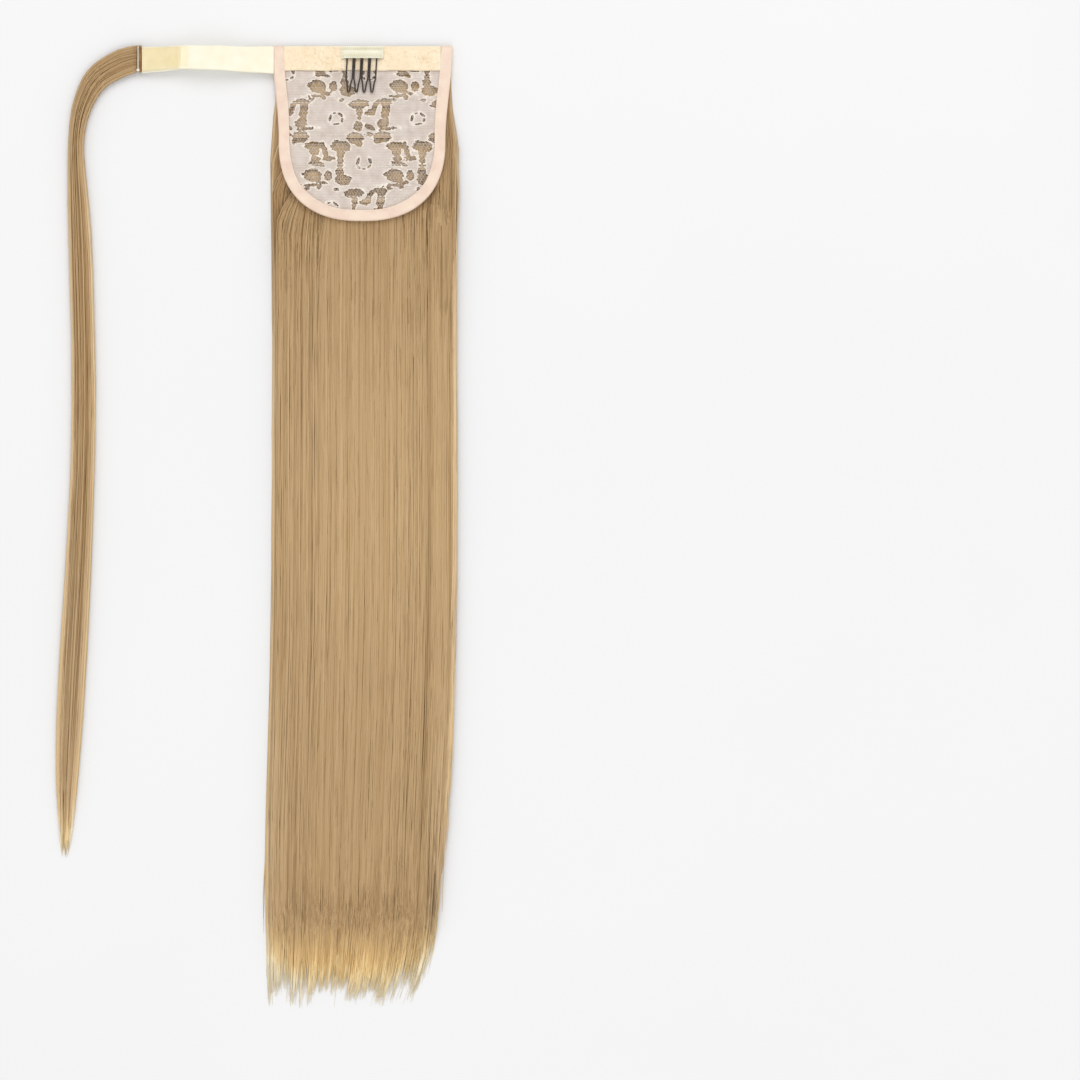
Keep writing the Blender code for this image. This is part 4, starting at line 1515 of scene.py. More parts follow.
@dataclass
class Lace:
    """The floral lace sheet on the base's plane, with the fine net in its openings."""

    plane: BasePlane
    outline: BaseOutline
    cell: float = 0.72 * MM
    repeat_x: float = 65.4 * MM
    repeat_y: tuple[float, float] = (-3.6 * MM, -72.0 * MM)
    under_band: float = 18.4 * MM
    thickness: float = 0.50 * MM
    net_pitch: float = 1.5 * MM
    top_inset: float = 0.3 * MM
    side_inset: float = 3.5 * MM
    end_inset: float = 4 * MM

    @staticmethod
    def away(x: Array, y: Array, centre: tuple, half: tuple, turn: float = 0) -> Array:
        """Distance from an oval's middle, 1 on its edge.

        Args:
            x: Places across.
            y: Places up.
            centre: The oval's middle in millimetres.
            half: Its half width and half height in millimetres.
            turn: Its turn in degrees.

        Returns:
            The distance.
        """
        angle = math.radians(turn)
        dx, dy = x - centre[0] * MM, y - centre[1] * MM
        u = (dx * math.cos(angle) + dy * math.sin(angle)) / (half[0] * MM)
        v = (dy * math.cos(angle) - dx * math.sin(angle)) / (half[1] * MM)
        return np.hypot(u, v)

    def repeats(self) -> list[tuple[float, float]]:
        """Shifts of the repeats that reach the base, in metres."""
        return [
            (i * self.repeat_x + j * self.repeat_y[0], j * self.repeat_y[1])
            for j in (-1, 0, 1)
            for i in (-1, 0, 1)
        ]

    def field(self, x: Array, y: Array) -> Array:
        """How far inside the cloth each place of the sheet lies, below 0 in openings.

        Args:
            x: Places across.
            y: Places up.

        Returns:
            Rough distance, in metres.
        """
        value = np.full(x.shape, 9 * MM)
        lobes = np.abs(np.sin(x * 1080 + 2 * np.sin(y * 640))) + np.abs(np.sin(y * 1010 + x * 260))
        waver = 0.62 * MM * (lobes - 1.25)
        waver += 0.24 * MM * np.sin(x * 1150 + y * 1300 + 2 * np.sin(y * 700))
        for sx, sy in self.repeats():
            px, py = x - sx, y - sy
            for cx, cy, wide, tall, turn in LACE_OPENINGS:
                edge = (self.away(px, py, (cx, cy), (wide, tall), turn) - 1) * min(wide, tall) * MM
                value = np.minimum(value, edge + waver - 0.50 * MM)
        for sx, sy in self.repeats():
            px, py = x - sx, y - sy
            for cx, cy, wide, tall, turn in LACE_LEAVES:
                leaf = (1 - self.away(px, py, (cx, cy), (wide, tall), turn)) * min(wide, tall) * MM
                value = np.maximum(value, leaf + waver * 0.5)
            for cx, cy, wide, tall, turn in EYE_OPENINGS:
                edge = (self.away(px, py, (cx, cy), (wide, tall), turn) - 1) * min(wide, tall) * MM
                value = np.minimum(value, edge + waver * 0.35 + 0.12 * MM)
        value = np.maximum(value, y + self.under_band)
        drop = np.clip(-y, 0, None)
        side = self.cut_half_width(drop) - np.abs(x)
        return np.minimum(value, np.minimum(side, self.cut_end() - drop))

    def cut_half_width(self, drop: Array) -> Array:
        """Half the width the lace is cut to, which ends inside the binding.

        Args:
            drop: Distance below the base's top edge.

        Returns:
            The half width.
        """
        return self.outline.half_width(drop + self.side_inset) - self.side_inset

    def cut_end(self) -> float:
        """How far below the base's top edge the lace is cut off."""
        return self.outline.length - self.end_inset

    def cut(self) -> tuple[tuple[float, float], float]:
        """The flat size and the flat area inside the cut edge, openings counted as lace.

        Returns:
            Width and length, and the area.
        """
        drop = np.linspace(self.top_inset, self.cut_end(), 2001)
        width = 2 * np.clip(self.cut_half_width(drop), 0, None)
        length = self.cut_end() - self.top_inset
        return (float(width.max()), length), float(width.mean() * length)

    def build(self, finish: Material) -> None:
        """Makes the lace sheet as a thin closed mesh round its openings.

        Args:
            finish: The lace's material.
        """
        across = int(2 * self.outline.half / self.cell)
        down = int(self.outline.length / self.cell)
        xs = (np.arange(across + 1) - across / 2) * self.cell
        ys = -self.top_inset - np.arange(down + 1) * self.cell
        x, y = np.meshgrid(xs, ys)
        value = self.field(x, y)
        value[np.abs(value) < 1e-7] = 1e-7
        points, faces = self.march(x, y, value)
        rim = np.exp(-((points[:, 2] / (1.05 * MM)) ** 2))
        rim = np.where(points[:, 1] > -self.under_band, 0.0, rim)
        top = 0.62 * MM + 0.30 * MM * rim
        over = self.plane.place(points[:, 0], points[:, 1], top)
        under = self.plane.place(points[:, 0], points[:, 1], top - self.thickness)
        builder = MeshBuilder()
        count = len(points)
        places = np.stack([rim, np.full(count, 0.5)], -1)
        sides = self.walls(faces, count)
        fours, threes = split_faces(faces)
        quads = np.concatenate([fours, fours[:, ::-1] + count, sides])
        triangles = np.concatenate([threes, threes[:, ::-1] + count])
        builder.add(np.concatenate([over, under]), quads, triangles, np.concatenate([places] * 2))
        piece = builder.place("lace_cloth", finish, "lace", ("lace_base",))
        flat, area = self.cut()

    @staticmethod
    def walls(faces: Faces, count: int) -> Array:
        """Faces that close the sheet along its open edges.

        Args:
            faces: The upper faces.
            count: Points of the upper side, which the lower side's follow.

        Returns:
            The closing quads.
        """
        edges = set()
        for face in faces:
            for start, end in zip(face, face[1:] + face[:1]):
                if (end, start) in edges:
                    edges.discard((end, start))
                else:
                    edges.add((start, end))
        rows = [(end, start, start + count, end + count) for start, end in sorted(edges)]
        return np.array(rows, dtype=int).reshape(-1, 4)

    @staticmethod
    def march(x: Array, y: Array, value: Array) -> tuple[Array, Faces]:
        """Cuts a grid along where a value changes sign.

        Args:
            x: Places across, (down, across).
            y: Places up, which fall with the first index.
            value: The value, kept where above 0.

        Returns:
            Points of (x, y, value) and faces that turn anticlockwise.
        """
        points: list[tuple[float, float, float]] = []
        known: dict[tuple, int] = {}
        faces: Faces = []

        def corner(r: int, c: int) -> int:
            """The number of a grid point."""
            key = (r, c)
            if key not in known:
                known[key] = len(points)
                points.append((x[r, c], y[r, c], value[r, c]))
            return known[key]

        def crossing(a: tuple[int, int], b: tuple[int, int]) -> int:
            """The number of the point where the value changes sign between two others."""
            key = (min(a, b), max(a, b))
            if key not in known:
                share = min(max(value[a] / (value[a] - value[b]), 0.08), 0.92)
                known[key] = len(points)
                points.append((x[a] + (x[b] - x[a]) * share, y[a] + (y[b] - y[a]) * share, 0.0))
            return known[key]

        inside = value > 0
        rows, columns = value.shape
        for r in range(rows - 1):
            for c in range(columns - 1):
                ring = ((r, c), (r + 1, c), (r + 1, c + 1), (r, c + 1))
                signs = [bool(inside[spot]) for spot in ring]
                kept = sum(signs)
                if kept == 0:
                    continue
                if kept == 4:
                    faces.append(tuple(corner(*spot) for spot in ring))
                    continue
                if kept == 2 and signs[0] == signs[2]:
                    for k in range(4):
                        if signs[k]:
                            before, after = ring[k - 1], ring[(k + 1) % 4]
                            faces.append(
                                (crossing(before, ring[k]), corner(*ring[k]), crossing(ring[k], after))
                            )
                    continue
                outline = []
                for k in range(4):
                    spot, after = ring[k], ring[(k + 1) % 4]
                    if signs[k]:
                        outline.append(corner(*spot))
                    if signs[k] != signs[(k + 1) % 4]:
                        outline.append(crossing(spot, after))
                if len(outline) == 5:
                    faces.append(tuple(outline[:4]))
                    faces.append((outline[0], outline[3], outline[4]))
                else:
                    faces.append(tuple(outline))
        return np.array(points), faces

    def build_net(self, finish: Material) -> None:
        """Makes the fine net that crosses the lace's openings.

        Args:
            finish: The lace's material.
        """
        draw = np.random.default_rng(12)
        reach = self.outline.length
        steps = np.arange(-reach, reach, 0.4 * MM)
        threads = []
        for lean in (0.0, 58.0, -58.0):
            way = np.array((math.cos(math.radians(lean)), math.sin(math.radians(lean))))
            normal = np.array((-way[1], way[0]))
            for offset in np.arange(-reach, reach, self.net_pitch * (1.0 if lean == 0 else 1.35)):
                shift = offset + draw.normal(0, 0.18 * MM)
                centre = np.array((0.0, -reach / 2)) + normal * shift
                x = centre[0] + way[0] * steps
                y = centre[1] + way[1] * steps
                inner = self.outline.half_width(-y + 6 * MM) - 7 * MM - np.abs(x)
                room = (y < -self.under_band - 0.5 * MM) & (-y < reach - 11 * MM) & (inner > 0)
                gap = (self.field(x, y) < 0.1 * MM) & room
                turns = np.flatnonzero(np.diff(np.concatenate([[0], gap.astype(int), [0]])))
                for start, end in zip(turns[::2], turns[1::2] - 1):
                    if end - start < 2 or draw.random() < 0.12:
                        continue
                    at = np.linspace(steps[start] - 0.5 * MM, steps[end] + 0.5 * MM, 4)
                    bow = np.array((0.0, 1.0, 1.0, 0.0)) * draw.normal(0, 0.16 * MM)
                    spots = centre + at[:, None] * way + bow[:, None] * normal
                    threads.append(self.plane.place(spots[:, 0], spots[:, 1], 0.42 * MM))
        builder = MeshBuilder()
        builder.add_tubes(np.array(threads), 0.13 * MM, 4)
        builder.place("lace_net", finish, "lace")


class Stitcher:
    """Models one stitch and sews copies of it along lines."""

    def __init__(self, length: float, radius: float) -> None:
        """Makes the stitch.

        Args:
            length: Its length.
            radius: Half its thickness.
        """
        deselect_all()
        bpy.ops.mesh.primitive_uv_sphere_add(segments=6, ring_count=5, radius=1.0)
        ball = bpy.context.object
        ball.rotation_euler = (0, math.pi / 2, 0)
        bpy.ops.object.transform_apply(location=True, rotation=True, scale=False)
        ball.scale = (length / 2, radius, radius)
        bpy.ops.object.transform_apply(location=False, rotation=False, scale=True)
        self.points, self.faces = take_mesh(ball)

    def sew(self, builder: MeshBuilder, starts: Array, ends: Array, up: Array) -> None:
        """Adds a stitch from each start to each end.

        Args:
            builder: What the stitches are added to.
            starts: Where they start.
            ends: Where they end.
            up: The cloth's outward direction.
        """
        along = ends - starts
        along /= np.linalg.norm(along, axis=-1, keepdims=True)
        side = np.cross(np.broadcast_to(up, along.shape), along)
        side /= np.linalg.norm(side, axis=-1, keepdims=True)
        builder.add_copies(self.points, self.faces, (starts + ends) / 2, along, side)


@dataclass
class Seams:
    """Rows of stitches that hold the hair tracks to the lace."""

    plane: BasePlane
    outline: BaseOutline
    drops: tuple[float, ...]
    stitch: float = 2.5 * MM
    pause: float = 0.6 * MM
    apart: float = 2.2 * MM

    def build(self, finish: Material) -> None:
        """Makes the seams.

        Args:
            finish: The thread's material.
        """
        builder = MeshBuilder()
        needle = Stitcher(self.stitch, 0.22 * MM)
        draw = np.random.default_rng(5)
        for drop in self.drops:
            for line in (0.0, self.apart):
                y = -drop - line
                half = float(self.outline.half_width(-y + 4 * MM)) - 10 * MM
                x = np.arange(-half, half - self.stitch, self.stitch + self.pause)
                waver = draw.normal(0, 0.08 * MM, len(x) + 1)
                starts = self.plane.place(x, y + waver[:-1], 0.95 * MM)
                ends = self.plane.place(x + self.stitch, y + waver[1:], 0.95 * MM)
                needle.sew(builder, starts, ends, self.plane.out)
        builder.place("lace_seams", finish, "lace")


# Edges and tapes


@dataclass
class Binding:
    """Bias tape folded round the base's edge, puckered where it turns, with its stitching."""

    plane: BasePlane
    outline: BaseOutline
    wall: float = 1.0 * MM
    low: float = -1.3 * MM
    high: float = 2.3 * MM
    join_drop: float = 41 * MM
    join_step: float = 0.35 * MM
    stitch_depth: float = 7.4 * MM

    def section(self) -> Array:
        """The tape's section: depth in from the edge and height, as shares of its sizes."""
        width = self.outline.binding
        fold = np.linspace(-math.pi / 2, math.pi / 2, 9)
        middle, reach = (self.low + self.high) / 2, (self.high - self.low) / 2
        outer = [(1.3 * MM - 1.3 * MM * math.cos(t), middle + reach * math.sin(t)) for t in fold]
        top = [(d * MM, self.high) for d in (2.6, 4.2, 5.8, 6.8, 7.4, 8.0, 8.6)]
        lip = [(width, self.high - 0.25 * MM), (width, self.high - self.wall)]
        inside = [(6 * MM, self.high - self.wall), (1.0 * MM, self.high - self.wall)]
        back = [(1.0 * MM, self.low + self.wall), (6 * MM, self.low + self.wall)]
        foot = [(width, self.low + self.wall), (width, self.low + 0.25 * MM)]
        bottom = [(d * MM, self.low) for d in (8.4, 6.0, 3.5)]
        return np.array(outer + top + lip + inside + back + foot + bottom)

    def build(self, finish: Material) -> None:
        """Makes the tape.

        Args:
            finish: The tape's material.
        """
        near_join = (self.join_drop - 0.3 * MM, self.join_drop + 0.3 * MM)
        edge = self.outline.edge(near_join)
        normal = self.outline.inward(edge)
        length = arc_length(edge)
        section = self.section()
        depth, height = section[:, 0][None], section[:, 1][None]
        s = length[:, None]
        bend = ease((-edge[:, 1:] - 60 * MM) / (30 * MM))
        ripple = np.sin(s * 520.0) * 0.6 + np.sin(s * 1130.0 + 1.7) * 0.4
        drift = np.sin(s * 61.0) * 0.28 * MM + np.sin(s * 143.0 + 0.8) * 0.16 * MM
        upper = height > (self.low + self.high) / 2
        inner = ease((depth - 4 * MM) / (4 * MM))
        place_depth = depth + np.where(upper, inner * (drift + ripple * 0.10 * MM * bend), 0)
        dimple = np.exp(-(((depth - self.stitch_depth) / (0.55 * MM)) ** 2))
        lift = np.where(height >= self.high - 0.3 * MM, 1.0, 0.0)
        wave = ripple * (0.04 + 0.13 * bend) * MM * inner - dimple * 0.28 * MM
        left = edge[:, :1] < 0
        overlap = (left & (-edge[:, 1:] < self.join_drop)) * self.join_step
        place_height = height + lift * (wave + overlap)
        x = edge[:, :1] + normal[:, :1] * place_depth
        y = edge[:, 1:] + normal[:, 1:] * place_depth
        rings = self.plane.place(x, y, place_height)
        count, points = rings.shape[:2]
        index = np.arange(count * points).reshape(count, points)
        here, after = index[:-1], index[1:]
        quads = np.stack([here, after, np.roll(after, -1, 1), np.roll(here, -1, 1)], -1)
        builder = MeshBuilder()
        builder.add(rings, quads)
        piece = builder.place("binding_tape", finish, "binding", ("edge_binding",))
        self.close_ends(piece)

    @staticmethod
    def close_ends(piece: Piece) -> None:
        """Fills the tape's two cut ends and points all faces outwards.

        Args:
            piece: The tape.
        """
        deselect_all()
        bpy.context.view_layer.objects.active = piece
        piece.select_set(True)
        bpy.ops.object.mode_set(mode="EDIT")
        bpy.ops.mesh.select_all(action="DESELECT")
        bpy.ops.mesh.select_non_manifold()
        bpy.ops.mesh.edge_face_add()
        bpy.ops.mesh.select_all(action="SELECT")
        bpy.ops.mesh.quads_convert_to_tris()
        bpy.ops.mesh.normals_make_consistent(inside=False)
        bpy.ops.object.mode_set(mode="OBJECT")
        piece.select_set(False)

    def build_stitches(self, finish: Material) -> None:
        """Makes the row of stitches along the tape's inner edge.

        Args:
            finish: The thread's material.
        """
        edge = self.outline.edge()
        line = edge + self.outline.inward(edge) * self.stitch_depth
        length = arc_length(line)
        starts = np.arange(1 * MM, length[-1] - 3 * MM, 2.6 * MM)
        spots = []
        for at in (starts, starts + 1.9 * MM):
            x = np.interp(at, length, line[:, 0])
            y = np.interp(at, length, line[:, 1])
            overlap = ((x < 0) & (-y < self.join_drop)) * self.join_step
            spots.append(self.plane.place(x, y, self.high - 0.17 * MM + overlap))
        builder = MeshBuilder()
        Stitcher(1.9 * MM, 0.16 * MM).sew(builder, spots[0], spots[1], self.plane.out)
        builder.place("binding_stitches", finish, "binding")


@dataclass
class TopBand:
    """Soft loop tape along the top edge, with its pile."""

    plane: BasePlane
    outline: BaseOutline
    height: float = 20 * MM
    low: float = 1.3 * MM
    high: float = 2.3 * MM
    loops: int = 1000

    def half(self) -> float:
        """Half the tape's length, from its solid's box."""
        low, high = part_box("top_band")
        return (high[0] - low[0]) / 2

    def build(self, finish: Material) -> None:
        """Makes the tape.

        Args:
            finish: The tape's material.
        """
        draw = np.random.default_rng(8)
        columns, rows = 170, 26
        share = np.linspace(0, 1, rows)[:, None]
        x = np.linspace(-self.half(), self.half(), columns)[None] * (1 - 0.003 * share)
        waver = 0.18 * MM * np.sin(x * 160.0) + 0.10 * MM * np.sin(x * 410.0 + 1.0)
        y = -0.1 * MM - (self.height - 0.2 * MM + waver) * share
        edge = np.minimum(share, 1 - share) * self.height
        fall = 0.55 * MM * (1 - ease(edge / (0.9 * MM)))
        swell = 0.10 * MM * np.sin(x * 95.0 + y * 60.0) + draw.normal(0, 0.03 * MM, y.shape)
        top = self.plane.place(x, y, self.high - fall + swell)
        bottom = self.plane.place(x, y, np.full_like(y, self.low))
        builder = MeshBuilder()
        builder.add_slab(top, bottom)
        piece = builder.place("band_tape", finish, "loop_tape", ("top_band",))
        2 * self.half()

    def build_pile(self, finish: Material) -> None:
        """Makes the small loops of thread that stand on the tape.

        Args:
            finish: The tape's material.
        """
        draw = np.random.default_rng(9)
        x = draw.uniform(-self.half() + 1 * MM, self.half() - 1 * MM, self.loops)
        y = -draw.uniform(0.8 * MM, self.height + 0.3 * MM, self.loops)
        turn = draw.uniform(0, 2 * np.pi, self.loops)
        size = draw.uniform(0.35, 0.8, self.loops) * MM
        stages = np.linspace(0, math.pi, 5)[None]
        spread = -np.cos(stages) * size[:, None]
        rise = np.sin(stages) * draw.uniform(0.35, 0.75, self.loops)[:, None] * MM
        paths = self.plane.place(
            x[:, None] + spread * np.cos(turn)[:, None],
            y[:, None] + spread * np.sin(turn)[:, None],
            self.high - 0.1 * MM + rise,
        )
        builder = MeshBuilder()
        builder.add_tubes(paths, 0.07 * MM, 3)
        builder.place("band_pile", finish, "loop_tape")


SPINE_DROP = 5.5 * MM
# One leg of a comb tooth: half its spread as a share of the full one, share of its length
TOOTH_LEG = (
    (1.00, 0.00),
    (1.00, 0.30),
    (1.00, 0.56),
    (0.98, 0.65),
    (0.80, 0.71),
    (0.60, 0.77),
    (0.50, 0.85),
    (0.38, 0.92),
)


@dataclass
class Comb:
    """Coated wire comb: a spine and four narrow U teeth."""

    plane: BasePlane
    teeth: int = 4
    pitch: float = 6.2 * MM
    wire: float = 1.2 * MM
    leg_gap: float = 0.06 * MM
    length: float = 32.5 * MM
    tip_width: float = 2.7 * MM
    spine: float = 2.2 * MM
    band_edge: float = 16.5 * MM
    lean: float = math.radians(-3.0)
    spine_height: float = 3.9 * MM
    over_band: float = 3.4 * MM
    over_lace: float = 2.2 * MM

    def height(self, share: Array) -> Array:
        """The wire's height along a tooth.

        Args:
            share: Places along the tooth.

        Returns:
            Heights over the base's plane.
        """
        edge = self.band_edge / self.length
        first = self.spine_height + (self.over_band - self.spine_height) * share / edge
        later = self.over_band + (self.over_lace - self.over_band) * ease((share - edge) / (1 - edge))
        return np.where(share < edge, first, later)

    def route(self, centre: float) -> Array:
        """One tooth's wire, down a leg, round its tip and up the other leg.

        Args:
            centre: The tooth's middle on the spine.

        Returns:
            Points in the model's frame.
        """
        spacing = (self.pitch - self.wire - self.leg_gap) / 2
        leg = smooth_rows(TOOTH_LEG, np.linspace(0, len(TOOTH_LEG) - 1, 25))
        tip_half = self.tip_width / 2 - self.wire / 2
        tip_share = 1 - (tip_half + self.wire / 2) / self.length
        turn = np.linspace(0, math.pi, 11)
        tip = np.stack(
            [tip_half * np.cos(turn) / spacing, tip_share + tip_half * np.sin(turn) / self.length], -1
        )
        neck = smooth_rows((leg[-2], leg[-1], tip[0], tip[1]), np.linspace(1, 2, 7))[1:-1]
        half = np.concatenate([leg, neck])
        other = half[::-1] * np.array((-1.0, 1.0))
        both = np.concatenate([half, tip, other])
        x = centre + both[:, 0] * spacing + self.length * both[:, 1] * math.tan(self.lean)
        y = -SPINE_DROP - self.length * both[:, 1]
        return self.plane.place(x, y, self.height(both[:, 1]))

    @staticmethod
    def wire_object(name: str, points: Array, radius: float) -> Piece:
        """A round wire along points, as a mesh object.

        Args:
            name: The object's name.
            points: Its middle line.
            radius: Half its thickness.

        Returns:
            The object.
        """
        deselect_all()
        bpy.ops.curve.primitive_nurbs_path_add(location=(0, 0, 0))
        wire = bpy.context.object
        wire.name = name
        curve = wire.data
        curve.splines.clear()
        spline = curve.splines.new("POLY")
        spline.points.add(len(points) - 1)
        for spot, place in zip(spline.points, points):
            spot.co = (*place, 1.0)
        curve.dimensions = "3D"
        curve.bevel_depth = radius
        curve.bevel_resolution = 4
        curve.use_fill_caps = True
        bpy.ops.object.convert(target="MESH")
        return bpy.context.object

    def build(self, finish: Material) -> None:
        """Makes the comb.

        Args:
            finish: The coating's material.
        """
        half = self.teeth * self.pitch / 2 + self.wire / 4
        x = np.linspace(-half, half, 9)
        line = self.plane.place(x, np.full(9, -SPINE_DROP), np.full(9, self.spine_height))
        parts = [self.wire_object("comb_spine", line, self.spine / 2)]
        for tooth in range(self.teeth):
            centre = (tooth - (self.teeth - 1) / 2) * self.pitch
            parts.append(self.wire_object(f"tooth_{tooth}", self.route(centre), self.wire / 2))
        deselect_all()
        for part in parts:
            part.select_set(True)
        bpy.context.view_layer.objects.active = parts[0]
        bpy.ops.object.join()
        bpy.ops.object.shade_smooth_by_angle(angle=math.radians(50))
        mesh = bpy.context.object.data.copy()
        bpy.data.objects.remove(bpy.context.object)
        place_piece("comb_wires", mesh, finish, ("comb",))


@dataclass
class CombCover:
    """Knit tape sewn over the comb's spine, with its zigzag threads."""

    plane: BasePlane
    half: float = 17 * MM
    top: float = -0.5 * MM
    bottom: float = -10.5 * MM
    flat: float = 2.8 * MM
    hump: float = 5.3 * MM
    lower: float = 4.8 * MM
    thickness: float = 0.9 * MM
    fade: float = 3.5 * MM
    slope: float = 1.6 * MM
    cut_width: float = 12 * MM

    def height(self, x: Array, y: Array) -> Array:
        """The tape's underside over the base's plane.

        Args:
            x: Places across.
            y: Places up.

        Returns:
            The heights.
        """
        rise = ease((2.0 * MM - SPINE_DROP - y) / self.slope)
        fall = ease((-0.6 * MM - SPINE_DROP - y) / self.slope)
        over = self.flat + (self.hump - self.flat) * rise + (self.lower - self.hump) * fall
        return self.flat + (over - self.flat) * ease((self.half - np.abs(x)) / self.fade)

    def build(self, finish: Material) -> None:
        """Makes the tape.

        Args:
            finish: The tape's material.
        """
        columns, rows = 90, 34
        share = np.linspace(0, 1, rows)[:, None]
        x = np.linspace(-self.half, self.half, columns)[None] * np.ones((rows, 1))
        picot = 0.16 * MM * np.sin(x * 2 * np.pi / (1.4 * MM)) * ease(np.abs(share - 0.5) * 2 - 0.5)
        y = self.top + (self.bottom - self.top) * share + picot * np.sign(0.5 - share)
        under = self.height(x, y)
        edge = np.minimum(share * 10 * MM, (1 - share) * 10 * MM)
        rounded = 0.4 * MM * (1 - ease(edge / (0.8 * MM)))
        courses = 0.10 * MM * np.sin(share * 2 * np.pi * 8)
        top = self.plane.place(x, y, under + self.thickness - rounded + courses)
        builder = MeshBuilder()
        builder.add_slab(top, self.plane.place(x, y, under))
        piece = builder.place("cover_tape", finish, "knit_tape", ("comb_cover",))

    def build_zigzags(self, finish: Material) -> None:
        """Makes the zigzag threads that run along the tape.

        Args:
            finish: The thread's material.
        """
        paths = []
        step = 0.9 * MM
        x = np.arange(-self.half + 0.6 * MM, self.half - 0.6 * MM, step)
        for middle, swing in ((-2.4, 1.2), (-5.4, 1.3), (-8.6, 1.2)):
            y = middle * MM + swing * MM * np.where(np.arange(len(x)) % 2, 1, -1)
            w = self.height(x, y) + self.thickness + 0.05 * MM
            paths.append(self.plane.place(x, y, w))
        builder = MeshBuilder()
        builder.add_tubes(np.array(paths), 0.24 * MM, 5)
        builder.place("cover_zigzags", finish, "knit_tape")


